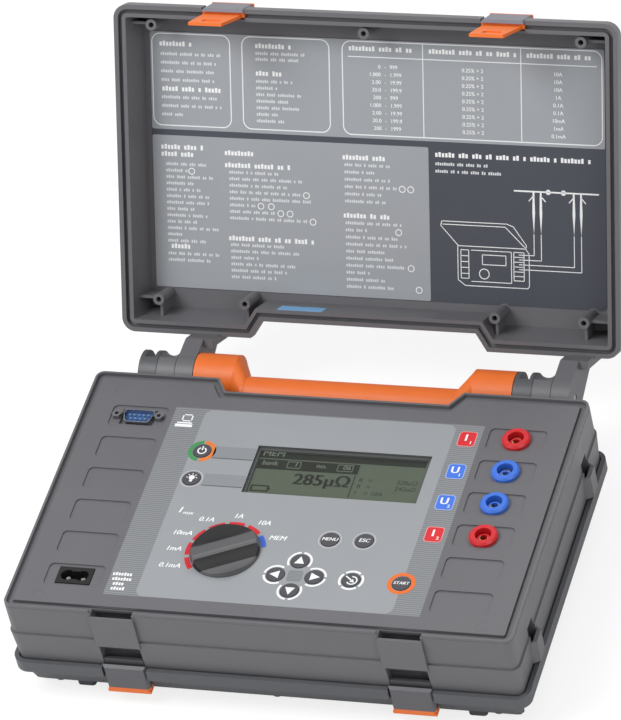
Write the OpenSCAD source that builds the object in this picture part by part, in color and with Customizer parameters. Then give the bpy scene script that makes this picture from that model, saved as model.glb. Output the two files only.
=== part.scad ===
// Micro ohmmeter in a carrying case, with the upper lid open for use.
// X runs to the right along the panel, Y runs back towards the hinges, Z is up.
// The origin is on the table under the middle of the case. All sizes are in millimetres.

/* [Case] */
// width of both lids
case_w = 295; // [250:1:340]
// depth of both lids, front to back
case_d = 189.6; // [160:0.2:220]
// height of the closed case with its feet
case_h = 95; // [85:0.5:110]
// height of one lid without its feet
lid_h = 24; // [20:0.5:30]
// height of the feet
foot_h = 3.5; // [2:0.5:6]
// radius of the upright corners
corner_r = 8; // [4:0.5:14]
// angle of the upper lid from closed
open_angle = 120.4; // [0:0.1:121]

/* [Lid moulding] */
// height of the straight band round the lid's rim
band_h = 7.6; // [5:0.2:10]
// step in from the band to the drafted wall
band_step = 3.7; // [2:0.1:5]
// how far the drafted wall leans in
wall_draft = 4.5; // [2:0.1:6]
// rounding of the lid's outer edge
edge_round = 3.6; // [2:0.1:5]
// lid floor thickness
lid_floor = 2.4; // [1.6:0.1:4]
// outer band of the rim
band_t = 2.6; // [2:0.1:4]
// width of the sealing groove
groove_w = 2.3; // [1.8:0.1:3]
// depth of the sealing groove
groove_h = 3; // [2:0.1:5]
// width of the inner lip of the rim
lip_w = 2.1; // [1.6:0.1:3]
// extra inset of the inner wall at the lid floor
cavity_draft = 3.6; // [2:0.1:5]
// depth of the handle notch
notch_depth = 10.2; // [6:0.2:16]
// distance from the side of the case to the notch's bottom corner
notch_side = 84.1; // [70:0.1:95]
// sideways run of the notch's slanted side per millimetre of depth
notch_slope = 0.647; // [0:0.001:1]

/* [Lid posts] */
// outer radius of a screw post
post_r = 3.25; // [2.5:0.05:5]
// radius of the hole in a post
post_hole_r = 1.5; // [1:0.05:2]
// distance of a post's tip below the rim
post_drop = 2; // [1:0.1:4]
// distance of the outer posts from the sides
post_side = 21.7; // [16:0.1:30]
// distance of the inner posts from the notch's corners
post_beside = 10.6; // [8:0.1:16]
// distance of the front row of posts from the front
post_front = 11.5; // [11:0.1:18]
// distance of the back row of posts from the back
post_back = 19.1; // [14:0.1:24]
// thickness of a rib
rib_t = 1.6; // [1:0.1:3]
// rib height below the post's tip
rib_drop = 5; // [2:0.5:10]

/* [Lid card] */
// distance of the printed card from the sides
label_side = 13.5; // [12:0.1:20]
// distance of the card from the lid's front
label_front = 18.6; // [16:0.1:24]
// distance of the card from the lid's back
label_back = 22; // [21.8:0.1:28]
// card thickness
label_t = 0.3; // [0.2:0.05:0.6]
// corner radius of the card
label_r = 3; // [1:0.5:6]

/* [Feet] */
// distance of the feet from the sides
foot_side = 35; // [20:0.5:50]
// distance of the feet from the front and back
foot_in = 15.8; // [13:0.1:30]
// foot width
foot_w = 10.5; // [6:0.5:16]
// foot length
foot_l = 9; // [6:0.5:16]

/* [Hinge] */
// distance of the hinge line behind the case's back wall
hinge_back = 18.9; // [18:0.1:24]
// radius of a knuckle
knuckle_r = 13.5; // [10:0.1:16]
// width of one knuckle
knuckle_w = 11; // [8:0.5:14]
// distance from the side of the case to a hinge group's inner end
hinge_side = 53.5; // [48:0.5:60]
// thickness of a knuckle's end disc
disc_t = 2.5; // [1.5:0.1:4]
// depth of the channel between the discs
channel_depth = 5; // [2:0.1:8]
// side gap between knuckles
side_gap = 0.3; // [0.2:0.05:0.6]
// hinge pin radius
pin_r = 3; // [2:0.1:5]
// radial running clearance on a pin
run_gap = 0.05; // [0.02:0.01:0.1]
// radial clearance of a fixed pin
fixed_gap = 0.01; // [0.01:0.01:0.05]
// width of a lid's arm web
web_w = 16.3; // [12:0.1:20]
// thickness of a lid's arm web
web_t = 3.9; // [3:0.1:5]
// reach of the web above the rim
web_up = 12; // [6:0.5:16]
// reach of the web below the rim
web_down = 15; // [8:0.5:20]

/* [Handle] */
// radius of the grip bar
bar_r = 10; // [8:0.1:13]
// distance from the hinge line forward to the grip bar
bar_offset = 11.7; // [8:0.1:16]
// distance from the notch's corner in to the grip bar's end
bar_in = 1.4; // [1:0.1:6]
// radius of the handle's end blocks
block_r = 13.5; // [11:0.1:16]
// distance from the notch's corner out to an end block
block_beside = 6.1; // [4:0.1:10]
// depth of the pin hole in an end block
block_bore = 15; // [8:0.5:20]
// radius of the round dimple in an end block
dimple_r = 4; // [2:0.1:6]
// depth of that dimple
dimple_depth = 1; // [0.5:0.1:2]

/* [Body] */
// inset of the upper band from the lid's outline
upper_inset = 3; // [2:0.1:5]
// inset of the lower band at the step
lower_inset = 2; // [1:0.1:4]
// inset of the lower band at the lower seam
seam_inset = 3.4; // [2:0.1:5]
// body wall thickness
wall_t = 2.6; // [2:0.1:4]
// height of the lips that enter the lids' grooves
lip_h = 2; // [1:0.1:2.6]
// thickness of those lips
bead_t = 1.3; // [1:0.1:1.8]
// inset of those lips from the lid's outline
bead_inset = 3.15; // [2.9:0.05:3.6]
// deck height below the upper seam
deck_drop = 0.3; // [0.2:0.1:1]
// ledge width under the panel
ledge_w = 5; // [3:0.5:8]
// ledge thickness
ledge_t = 2.4; // [1.6:0.1:4]
// floor thickness of the body
floor_t = 2.4; // [1.6:0.1:4]
// floor height above the lower seam
floor_rise = 0.6; // [0.4:0.1:3]
// radius of a screw post in the body
body_post_r = 4.5; // [3.5:0.1:6]

/* [Latches] */
// distance of a latch's middle from the side
latch_side = 65.75; // [50:0.25:75]
// width of the keeper plate and of the lid's recess
latch_w = 25.5; // [20:0.5:30]
// width of the slots in the body
slot_w = 23.5; // [18:0.5:28]
// side clearance of a latch in its recess
latch_gap = 0.35; // [0.2:0.05:0.6]
// keeper plate's height above the lower seam
keeper_low = 16; // [12:0.5:20]
// keeper plate's top above the lower seam
keeper_top = 38; // [30:0.5:39]
// how far the keeper stands out of the upper band
keeper_proud = 1.7; // [1:0.1:3]
// top of the bar under the lower slot above the lower seam
bar_top = 5.5; // [4:0.5:8]
// depth of the pocket behind the keeper
pocket_depth = 6.5; // [5:0.5:8]
// length of the upper latches' tongue beyond the rim
tongue_l = 27; // [20:0.5:30]
// length of the lower latches' tongue beyond the rim
short_tongue_l = 5; // [3:0.5:5.4]
// width of a tongue at the rim
tongue_w = 22.6; // [18:0.2:24]
// width of the long tongue at its tip
tongue_tip_w = 19.5; // [16:0.5:22]
// tongue thickness
tongue_t = 1.8; // [1.4:0.1:2.4]
// lever thickness inside the lid's recess
lever_t = 3.2; // [2.8:0.1:4]
// length of the lever below the rim
lever_l = 18.2; // [14:0.2:20]
// length of the grey face plate below the rim
face_l = 16.6; // [12:0.2:17.4]
// length of the face plate beyond the rim
face_up = 1.7; // [0:0.1:1.7]
// thickness of the grey face plate
face_t = 1.8; // [1.2:0.1:2.5]
// depth of the dimple in the long tongue
dimple_in = 0.8; // [0.4:0.1:1.2]
// length of that dimple along the tongue's width
dimple_l = 11; // [6:0.5:14]
// width of that dimple
dimple_w = 6; // [4.5:0.5:9]
// height of that dimple above the rim
dimple_up = 20; // [12:0.5:22]
// depth of the latch pin below the rim
latch_pin_drop = 4.8; // [4.2:0.1:6]
// latch pin radius
latch_pin_r = 0.8; // [0.6:0.05:1]

/* [Panel] */
// inset of the panel's edge from the lid's outline
panel_inset = 7.9; // [7.4:0.1:9]
// panel thickness
panel_t = 3; // [2:0.1:4]
// panel surface above the upper seam
panel_rise = 1.5; // [1:0.1:1.6]
// distance from the side of the case to the overlay
overlay_side = 57.5; // [56.5:0.5:65]
// distance from the back of the case to the overlay
overlay_back_in = 27.4; // [24:0.2:34]
// distance from the front of the case to the overlay
overlay_front_in = 17; // [15.8:0.2:24]
// overlay thickness
overlay_t = 0.4; // [0.2:0.05:0.6]
// distance of a bay's middle from the side of the case
bay_side = 37.4; // [32:0.1:40]
// bay width
bay_w = 32.8; // [28:0.2:36]
// bay height
bay_h = 16.4; // [12:0.2:20]
// bay corner radius
bay_r = 3; // [1:0.5:5]
// bay depth
bay_depth = 0.8; // [0.4:0.1:1.2]
// distance from the back of the case to the backmost bay's middle
bay_back_in = 36.8; // [32:0.1:42]
// distance from the front of the case to the foremost bay's middle
bay_front_in = 29.3; // [26:0.1:34]

/* [Display] */
// edges of the display as shares of the overlay: left, right of its half width, front, back of its depth
display_shares = [-0.38, 0.7367, 0.5709, 0.8216];
// depth of the window below the panel's face
window_drop = 0.3; // [0.1:0.1:0.8]
// window thickness
window_t = 1.5; // [1:0.1:2]
// width of the seat round the window
window_seat = 1.5; // [1:0.1:3]

/* [Keys] */
// key radius as a share of the overlay's half width
key_share = 0.056; // [0.05:0.001:0.06]
// gap round a key
key_gap = 0.3; // [0.25:0.05:0.6]
// how far a key stands out
key_proud = 0.4; // [0.2:0.1:1]
// key travel
key_travel = 0.5; // [0.3:0.1:0.6]
// place of each key as shares of the overlay's half width and depth
power_share = [-0.7267, 0.7720];
light_share = [-0.7256, 0.6233];
menu_share = [0.2856, 0.3554];
escape_share = [0.5011, 0.3609];
enter_share = [0.5056, 0.1570];
start_share = [0.8200, 0.1584];
// middle of the four arrow keys, in the same shares
arrows_share = [0.1489, 0.1591];
// distance of an arrow key from their middle as a share of the overlay's half width
arm_share = 0.12167; // [0.12:0.001:0.15]

/* [Rotary switch] */
// place of the knob in the same shares
knob_share = [-0.3378, 0.2562];
// knob radius as a share of the overlay's half width
knob_r_share = 0.2178; // [0.18:0.001:0.22]
// height of the knob's base disc
knob_disc = 1.2; // [0.8:0.1:2]
// step in from the base disc to the knob's side
knob_step = 0.5; // [0.2:0.1:1]
// knob height
knob_h = 5.5; // [4.5:0.5:12]
// height of the scoops' lowest line above the knob's underside
knob_floor = 1.5; // [1.3:0.1:3]
// radius of the scoops
scoop_r = 14; // [10:0.5:20]
// width of the knob's ridge
ridge_w = 7; // [6.6:0.1:12]
// depth of the shaft's hole in the knob
knob_bore = 3.2; // [2:0.1:4]
// radius of the switch under the panel
switch_r = 14; // [10:0.5:16]
// direction of the knob's pointer in the photographed setting
pointer_angle = 27; // [0:1:210]
// shaft radius
shaft_r = 3; // [2:0.1:4]

/* [Sockets] */
// radius of a jack's collar
collar_r = 8; // [6:0.1:9]
// height of a jack's collar above its bay
collar_h = 3; // [2:0.1:4]
// radius of a jack's threaded body
jack_body_r = 6; // [5:0.1:7]
// length of a jack's body below the bay
jack_body_l = 24; // [18:0.5:30]
// radius of the well round the contact
well_r = 4.6; // [4:0.1:5]
// radius of the plug hole in the contact
plug_r = 2; // [1.5:0.1:2.5]
// outer radius of the contact
contact_r = 2.7; // [2.4:0.1:3]
// depth of the plug hole
plug_depth = 19; // [12:0.5:22]

/* [Inner parts] */
// board thickness
board_t = 1.6; // [1:0.1:2.4]
// space between panel and board
board_gap = 8.4; // [8:0.1:12]
// radius of a battery cell as a share of the space under the board
cell_share = 0.353; // [0.25:0.001:0.45]
// length of one battery cell
cell_l = 50; // [40:0.5:60]
// width of the battery cover
battery_w = 116; // [104:0.5:130]
// depth of the battery opening
battery_d = 60; // [40:0.5:70]
// sideways place of the battery
battery_x = 30; // [0:1:34]
// distance from the battery cover's corners to its screws
cover_screw_in = 12; // [8:0.5:16]

/* [Strap loops] */
// distance of the strap loops from the front and back
strap_in = 32.8; // [26:0.1:40]
// width of a strap loop
strap_w = 9.6; // [6:0.1:14]
// depth of a strap loop
strap_t = 5.2; // [4.2:0.1:6]
// distance from the case's side to the loop's inner wall
strap_side = 6.5; // [6:0.1:8]
// height of the strap bulge's top above the lower seam
bulge_top = 16.5; // [12:0.5:18]
// height of its lower end above the lower seam
bulge_low = 1.5; // [1:0.5:6]
// height of the scoop above the bulge
scoop_h = 9; // [6:0.5:12]

/* [Hidden] */
$fn = 64;
eps = 0.01;
over = 1;
round_fn = 32;
seam_low = foot_h + lid_h;
seam_high = case_h - foot_h - lid_h;
mid_z = case_h / 2;
panel_z = seam_high + panel_rise;
panel_under = panel_z - panel_t;
deck_z = seam_high - deck_drop;
floor_z = seam_low + floor_rise;
groove_out = band_t;
groove_in = band_t + groove_w;
lip_in = groove_in + lip_w;
label_y = (label_front - label_back) / 2;
notch_grow = 0.54;
front_y = -case_d / 2;
notch_y = case_d / 2 - notch_depth;
axis_up = mid_z - seam_low;
pin_hole_r = pin_r + run_gap;
hinge_in_x = case_w / 2 - hinge_side;
hinge_out_x = hinge_in_x + 3 * knuckle_w;
board_z = panel_under - board_gap;
notch_half = case_w / 2 - notch_side;
post_x = case_w / 2 - post_side;
post_mid_x = notch_half + post_beside;
post_front_y = post_front - case_d / 2;
post_back_y = case_d / 2 - post_back;
foot_x = case_w / 2 - foot_side;
foot_y = case_d / 2 - foot_in;
hinge_y = case_d / 2 + hinge_back;
bar_half = notch_half - bar_in;
block_in_x = notch_half + block_beside;
latch_x = case_w / 2 - latch_side;
overlay_half = case_w / 2 - overlay_side;
overlay_back = case_d / 2 - overlay_back_in;
overlay_front = overlay_front_in - case_d / 2;
overlay_d = overlay_back - overlay_front;
bay_x = case_w / 2 - bay_side;
bay_back_y = case_d / 2 - bay_back_in;
bay_pitch = (case_d - bay_back_in - bay_front_in) / 5;
display_left = display_shares[0] * overlay_half;
display_right = display_shares[1] * overlay_half;
display_front = overlay_front + display_shares[2] * overlay_d;
display_back = overlay_front + display_shares[3] * overlay_d;
key_r = key_share * overlay_half;
arrow_arm = arm_share * overlay_half;
knob_r = knob_r_share * overlay_half;
function on_overlay(share) = [share[0] * overlay_half, overlay_front + share[1] * overlay_d];
knob_pos = on_overlay(knob_share);
arrows_pos = on_overlay(arrows_share);
cell_r = cell_share * (panel_under - board_gap - board_t - floor_z - floor_t);
cover_screw_x = battery_w / 2 - cover_screw_in;
cover_screw_y = battery_d / 2 + 4;
cover_spots = [for (sx = [-1, 1], sy = [-1, 1]) [battery_x + sx * cover_screw_x, sy * cover_screw_y]];
cover_gap = 0.1;
cover_t = 1.3;
cover_play = 0.2;
cover_flange = 9;
cover_r = 3;
cover_ledge = 4;
cover_rib_pitch = 20;
cover_rib_t = 2;
cover_screw_l = 10;
cover_head_h = 1;
cover_post_r = 3.5;
strap_y = case_d / 2 - strap_in;
strap_in_x = case_w / 2 - strap_side;
nut_r = 9.2;
key_foot = 1.2;
key_flange = 0.9;
hole_gap = 0.3;
knob_z = panel_z + hole_gap;
shell_colour = [0.38, 0.37, 0.39];
orange = [0.94, 0.42, 0.13];
keeper_y = front_y + upper_inset - keeper_proud;
keeper_t = 1.6;
pocket_y = keeper_y + keeper_t;
pocket_back = pocket_y + pocket_depth;
pocket_wall = 1.6;
lever_y = front_y + lever_t / 2 + 1.8;
lever_back = lever_y + lever_t / 2;
recess_back = lever_back + 1;
slot_back = front_y + 6.9;
plug_x = case_w / 2 - 21.5;
plug_back_y = case_d / 2 - 16.8;
plug_mid_x = notch_half + 10.1;
screw_spots = [[plug_x, plug_back_y], [-plug_x, plug_back_y], [plug_x, front_y + 12.8], [-plug_x, front_y + 12.8],
    [plug_mid_x, plug_back_y - 0.6], [-plug_mid_x, plug_back_y - 0.6], [0, front_y + 13.6]];
plug_disc_r = 3.2;
plug_hole_r = 3.25;
plug_t = 1.4;
boss_r = 5;
boss_h = 3;
screw_head_r = 2.9;
screw_head_h = 1.6;
screw_r = 1.5;
screw_l = 16;
key_spots = [for (share = [power_share, light_share, menu_share, escape_share, enter_share, start_share])
    on_overlay(share)];
arrow_spots = [arrows_pos + [0, arrow_arm], arrows_pos - [0, arrow_arm],
    arrows_pos - [arrow_arm, 0], arrows_pos + [arrow_arm, 0]];
all_keys = concat(key_spots, arrow_spots);
db9_y = bay_back_y;
inlet_y = bay_back_y - 5 * bay_pitch;
jack_ys = [for (i = [0:3]) bay_back_y - i * bay_pitch];
bay_z = panel_z - bay_depth;

// rounded rectangle that follows the case's outline at an inset
module rounded_case(inset) {
    w = case_w / 2 - inset;
    d = case_d / 2 - inset;
    r = max(corner_r - inset, over);
    square([2 * (w - r), 2 * d], center = true);
    square([2 * w, 2 * (d - r)], center = true);
    for (sx = [-1, 1], sy = [-1, 1]) translate([sx * (w - r), sy * (d - r)]) circle(r);
}

// trapezoid of the handle notch, grown by an inset
module notch_shape(inset) {
    half = notch_half + notch_grow * inset;
    y = notch_y - inset;
    reach = notch_depth + inset + over;
    polygon([[-half, y], [half, y], [half + notch_slope * reach, y + reach], [-half - notch_slope * reach, y + reach]]);
}

// outline of the case with the handle notch in its back edge
module outline(inset) {
    difference() {
        rounded_case(inset);
        notch_shape(inset);
    }
}

module ring(inset_out, inset_in, z, h) {
    translate([0, 0, z]) linear_extrude(h) difference() {
        outline(inset_out);
        outline(inset_in);
    }
}

// block between two rounded rectangles at two heights
module draft_block(low_z, low_inset, top_z, top_inset) {
    hull() {
        translate([0, 0, low_z]) linear_extrude(eps, $fn = round_fn) rounded_case(low_inset);
        translate([0, 0, top_z - eps]) linear_extrude(eps, $fn = round_fn) rounded_case(top_inset);
    }
}

// rounded rectangle with exact arcs, used for bays, windows and plates
module soft_rect(w, h, r) {
    square([w - 2 * r, h], center = true);
    square([w, h - 2 * r], center = true);
    for (sx = [-1, 1], sy = [-1, 1]) translate([sx * (w / 2 - r), sy * (h / 2 - r)]) circle(r);
}

// cylinder along X from one place to another
module x_rod(x1, x2, r) {
    translate([min(x1, x2), 0, 0]) rotate([0, 90, 0]) cylinder(h = abs(x2 - x1), r = r);
}

// box given by its two opposite corners
module span(a, b) {
    translate(a) cube(b - a);
}

// places of the upper and lower lid mouldings, both modelled rim up
module in_lower_lid() {
    translate([0, 0, seam_low]) children();
}

module in_upper_lid() {
    translate([0, hinge_y, mid_z]) rotate([-open_angle, 0, 0]) translate([0, -hinge_y, -mid_z])
        translate([0, 0, seam_high]) rotate([0, 180, 0]) children();
}

// one lid knuckle with its end discs, its channel and its arm to the lid's back wall
module lid_knuckle(x1, web_x1, web_x2) {
    x2 = x1 + knuckle_w;
    arm_y = case_d / 2 - over;
    difference() {
        union() {
            translate([0, hinge_y, axis_up]) x_rod(x1 + side_gap / 2, x2 - side_gap / 2, knuckle_r);
            hull() {
                translate([0, hinge_y, axis_up])
                    x_rod(x1 + side_gap / 2 + eps, x2 - side_gap / 2 - eps, knuckle_r - 0.2, $fn = round_fn);
                span([x1 + side_gap / 2, arm_y, -web_down], [x2 - side_gap / 2, case_d / 2 + web_t, web_up]);
            }
            span([web_x1, arm_y, -web_down], [web_x2, case_d / 2 + web_t, web_up]);
        }
        translate([0, hinge_y, axis_up]) {
            x_rod(x1 - over, x2 + over, pin_hole_r);
            difference() {
                x_rod(x1 + disc_t, x2 - disc_t, knuckle_r + over);
                x_rod(x1, x2, knuckle_r - channel_depth);
                span([x1, -2 * knuckle_r, -2 * knuckle_r], [x2, 0, 2 * knuckle_r]);
            }
        }
    }
}

// bay in the lid's front wall for a latch, with the holes of its pin
module latch_recess(side) {
    translate([side * latch_x, 0, 0]) {
        span([-latch_w / 2, front_y - over, -lever_l - latch_gap], [latch_w / 2, recess_back, over]);
        translate([0, lever_y, -latch_pin_drop]) x_rod(-latch_w / 2 - 2, latch_w / 2 + 2, latch_pin_r + run_gap);
    }
}

// screw post with its ribs
module lid_post(x, y, rib_x, rib_y) {
    floor_w = -lid_h + lid_floor - eps;
    tip = -post_drop;
    difference() {
        union() {
            translate([x, y, floor_w]) cylinder(h = tip - floor_w, r = post_r);
            if (rib_x != x) span([min(x, rib_x), y - rib_t / 2, floor_w],
                [max(x, rib_x), y + rib_t / 2, tip - rib_drop]);
            if (rib_y != y) span([x - rib_t / 2, min(y, rib_y), floor_w],
                [x + rib_t / 2, max(y, rib_y), tip - rib_drop]);
        }
        translate([x, y, floor_w + lid_floor]) cylinder(h = lid_h, r = post_hole_r);
    }
}

// lid moulding, rim up; the same form serves above and below
module lid_shell() {
    wall_x = case_w / 2 - lip_in - over;
    wall_y = case_d / 2 - lip_in - over;
    difference() {
        union() {
            translate([0, 0, -band_h]) linear_extrude(band_h) outline(0);
            difference() {
                union() {
                    draft_block(-lid_h + edge_round, band_step + wall_draft, -band_h + eps, band_step);
                    draft_block(-lid_h, band_step + wall_draft + 0.8 * edge_round,
                        -lid_h + edge_round + eps, band_step + wall_draft);
                }
                translate([0, 0, -lid_h - over]) linear_extrude(lid_h + 2 * over) notch_shape(band_step / 2);
            }
            for (sx = [-1, 1], sy = [-1, 1])
                translate([sx * foot_x, sy * foot_y, -lid_h - foot_h]) linear_extrude(foot_h + lid_floor)
                    soft_rect(foot_w, foot_l, 2);
            for (k = [[-hinge_out_x, -hinge_in_x - 3 * knuckle_w - web_w + knuckle_w, -hinge_in_x - 2 * knuckle_w],
                    [hinge_in_x, hinge_in_x + knuckle_w - web_w, hinge_in_x + knuckle_w]])
                lid_knuckle(k[0], k[1] + side_gap / 2, k[2] - side_gap / 2);
        }
        ring(groove_out, groove_in, -groove_h, groove_h + over);
        difference() {
            draft_block(-lid_h + lid_floor, lip_in + cavity_draft, over, lip_in);
            translate([0, 0, -lid_h]) linear_extrude(lid_h + 2 * over) notch_shape(lip_in);
        }
        for (side = [-1, 1]) latch_recess(side);
    }
    for (sx = [-1, 1]) {
        lid_post(sx * post_x, post_front_y, sx * wall_x, post_front_y);
        lid_post(sx * post_x, post_back_y, sx * wall_x, wall_y);
        lid_post(sx * post_mid_x, post_back_y, sx * post_mid_x, wall_y);
    }
    lid_post(0, post_front_y, 0, post_front_y);
}

module upper_lid() {
    color(shell_colour) in_upper_lid() lid_shell();
}

module lower_lid() {
    color(shell_colour) in_lower_lid() lid_shell();
}

// printed card glued to the upper lid's floor
module lid_label() {
    color([0.45, 0.46, 0.49]) in_upper_lid() translate([0, label_y, -lid_h + lid_floor]) linear_extrude(label_t)
        difference() {
            soft_rect(case_w - 2 * label_side, case_d - label_front - label_back, label_r);
            for (sx = [-1, 1], x = [post_x, post_mid_x])
                translate([sx * x, post_back_y - label_y]) circle(post_r + over);
        }
}

// lever with its tongue, dimple and pull strip, in the lid's own frame
module latch_lever(side, tongue, tip_w) {
    half = latch_w / 2 - latch_gap;
    tongue_y = lever_back - tongue_t;
    color(orange) translate([side * latch_x, 0, 0]) difference() {
        union() {
            span([-half, lever_back - lever_t, -lever_l], [half, lever_back, -latch_gap]);
            span([-half, front_y, -lever_l], [half, lever_back, -face_l]);
            translate([0, lever_back, 0]) rotate([90, 0, 0]) linear_extrude(tongue_t)
                polygon([[-tongue_w / 2, -over], [tongue_w / 2, -over], [tongue_w / 2, tongue],
                    [tongue_w / 2 - tip_w, tongue]]);
        }
        translate([0, lever_y, -latch_pin_drop]) x_rod(-latch_w, latch_w, latch_pin_r + fixed_gap);
        if (tongue > dimple_up + dimple_w / 2) translate([0, tongue_y + dimple_in, dimple_up]) rotate([90, 0, 0])
            linear_extrude(over + dimple_in) soft_rect(dimple_l, dimple_w, 2);
    }
}

// grey cover plate with bevelled edges, fixed on the lever
module latch_face(side) {
    half = latch_w / 2 - latch_gap;
    bevel = 1.2;
    y = lever_back - lever_t;
    top = face_up;
    color([0.46, 0.46, 0.5]) translate([side * latch_x, 0, 0]) intersection() {
        translate([-half, 0, 0]) rotate([90, 0, 90]) linear_extrude(2 * half)
            polygon([[y, -face_l], [y, top], [y - face_t, top - bevel], [y - face_t, -face_l]]);
        translate([0, 0, -face_l]) linear_extrude(face_l + top)
            polygon([[-half, y], [half, y], [half - bevel, y - face_t], [bevel - half, y - face_t]]);
    }
}

module latch_pin(side) {
    pin_half = latch_w / 2 + 1.8;
    color([0.7, 0.7, 0.72]) translate([side * latch_x, lever_y, -latch_pin_drop])
        x_rod(-pin_half, pin_half, latch_pin_r);
}

module latch_lever_upper_left() { in_upper_lid() latch_lever(1, tongue_l, tongue_tip_w); }
module latch_face_upper_left() { in_upper_lid() latch_face(1); }
module latch_pin_upper_left() { in_upper_lid() latch_pin(1); }
module latch_lever_upper_right() { in_upper_lid() latch_lever(-1, tongue_l, tongue_tip_w); }
module latch_face_upper_right() { in_upper_lid() latch_face(-1); }
module latch_pin_upper_right() { in_upper_lid() latch_pin(-1); }
module latch_lever_lower_left() { in_lower_lid() latch_lever(-1, short_tongue_l, tongue_w); }
module latch_face_lower_left() { in_lower_lid() latch_face(-1); }
module latch_pin_lower_left() { in_lower_lid() latch_pin(-1); }
module latch_lever_lower_right() { in_lower_lid() latch_lever(1, short_tongue_l, tongue_w); }
module latch_face_lower_right() { in_lower_lid() latch_face(1); }
module latch_pin_lower_right() { in_lower_lid() latch_pin(1); }

// carrying handle: two end blocks on the hinge pins and a grip bar in front of the hinge line
module handle() {
    block_out_x = hinge_in_x - side_gap;
    color(orange) translate([0, hinge_y, mid_z]) difference() {
        union() {
            x_rod(-block_out_x, -block_in_x, block_r);
            x_rod(block_in_x, block_out_x, block_r);
            translate([0, -bar_offset, 0]) x_rod(-bar_half - 1, bar_half + 1, bar_r);
            for (side = [-1, 1]) hull() {
                x_rod(side * block_in_x, side * (block_in_x + 1.5), block_r - 0.2, $fn = round_fn);
                translate([0, -bar_offset, 0])
                    x_rod(side * bar_half, side * (bar_half + 2), bar_r + 0.2, $fn = round_fn);
            }
        }
        for (side = [-1, 1]) x_rod(side * (block_out_x - block_bore), side * (block_out_x + 1), pin_hole_r);
        translate([block_in_x + 12, -block_r, 0]) rotate([90, 0, 0])
            translate([0, 0, -dimple_depth]) cylinder(h = knuckle_r, r = dimple_r);
    }
}

module hinge_pin(side) {
    color([0.72, 0.72, 0.74]) translate([0, hinge_y, mid_z])
        x_rod(side * (hinge_in_x - block_bore + 1), side * (hinge_out_x - 0.5), pin_r);
}

module hinge_pin_left() { hinge_pin(-1); }
module hinge_pin_right() { hinge_pin(1); }

// middle knuckle of a hinge group, with a waist, and its arm to the body's back wall
module body_knuckle(side) {
    x1 = side * (hinge_in_x + knuckle_w + side_gap / 2);
    x2 = side * (hinge_in_x + 2 * knuckle_w - side_gap / 2);
    arm_half = 9;
    difference() {
        union() {
            translate([0, hinge_y, mid_z]) x_rod(x1, x2, knuckle_r);
            span([min(x1, x2), case_d / 2 - 2 * upper_inset, mid_z - arm_half], [max(x1, x2), hinge_y, mid_z + arm_half]);
        }
        translate([0, hinge_y, mid_z]) {
            x_rod(x1 - side, x2 + side, pin_r + fixed_gap);
            difference() {
                translate([(x1 + x2) / 2, 0, 0]) rotate([0, 90, 0]) rotate_extrude()
                    translate([knuckle_r + 4, 0]) circle(6.6);
                span([min(x1, x2), -2 * knuckle_r, -2 * knuckle_r], [max(x1, x2), 0, 2 * knuckle_r]);
            }
        }
    }
}

// what a latch station adds to the body's front wall
module keeper(side) {
    half = latch_w / 2;
    translate([side * latch_x, 0, 0]) {
        span([-half, keeper_y, seam_low + keeper_low], [half, front_y + 2 * upper_inset, seam_low + keeper_top]);
        span([-slot_w / 2 - pocket_wall, front_y + upper_inset + over, floor_z],
            [slot_w / 2 + pocket_wall, pocket_back + pocket_wall, panel_under]);
    }
}

// what a latch station takes away from it
module keeper_cut(side) {
    half = slot_w / 2;
    translate([side * latch_x, 0, 0]) {
        span([-half, pocket_y, seam_low + bar_top], [half, pocket_back, seam_low + keeper_top]);
        span([-half, pocket_y, seam_low - lip_h - over], [half, pocket_back - over, seam_low + bar_top + over]);
        span([-half, keeper_y - 2 * over, seam_low + bar_top], [half, pocket_y + over, seam_low + keeper_low]);
        span([-half, keeper_y - 2 * over, seam_low + keeper_top], [half, slot_back, seam_high + lip_h + over]);
        span([-latch_w / 2, front_y, seam_high], [latch_w / 2, recess_back, seam_high + lip_h + over]);
        span([-latch_w / 2, front_y, seam_low - lip_h - over], [latch_w / 2, recess_back, seam_low]);
    }
}

// strap loop on a side wall: bulge, upright passage and scoop above it
bulge_half = 8;
bulge_tip_half = 4.4;
bulge_z = seam_low + bulge_top;

module strap_bulge(sx, sy) {
    wall_x = case_w / 2 - 4;
    tip_x = case_w / 2 + 1;
    inner_x = strap_in_x - 2.4;
    translate([0, sy * strap_y, seam_low + bulge_low]) linear_extrude(bulge_top - bulge_low)
        polygon([[sx * wall_x, -bulge_half], [sx * tip_x, -bulge_tip_half],
            [sx * tip_x, bulge_tip_half], [sx * wall_x, bulge_half]]);
    span([min(sx * inner_x, sx * (strap_in_x + 2)), sy * strap_y - strap_w / 2 - 2, floor_z],
        [max(sx * inner_x, sx * (strap_in_x + 2)), sy * strap_y + strap_w / 2 + 2, bulge_z + scoop_h + 3]);
}

module strap_cut(sx, sy) {
    low = seam_low - lip_h - over;
    out_x = case_w / 2 + 2;
    translate([0, sy * strap_y + strap_w / 2, 0]) rotate([90, 0, 0]) linear_extrude(strap_w)
        polygon([[sx * strap_in_x, low], [sx * (strap_in_x + strap_t), low], [sx * (strap_in_x + strap_t), bulge_z],
            [sx * out_x, bulge_z], [sx * out_x, bulge_z + scoop_h], [sx * (strap_in_x + 2), bulge_z + scoop_h],
            [sx * strap_in_x, bulge_z + scoop_h / 2]]);
}

// where the latch housings are set into the shell
module station_zone(side) {
    half = slot_w / 2 + pocket_wall;
    translate([side * latch_x, 0, 0])
        span([-half, front_y - over, seam_low - lip_h - over],
            [half, pocket_back + pocket_wall, seam_high + lip_h + over]);
}

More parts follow.
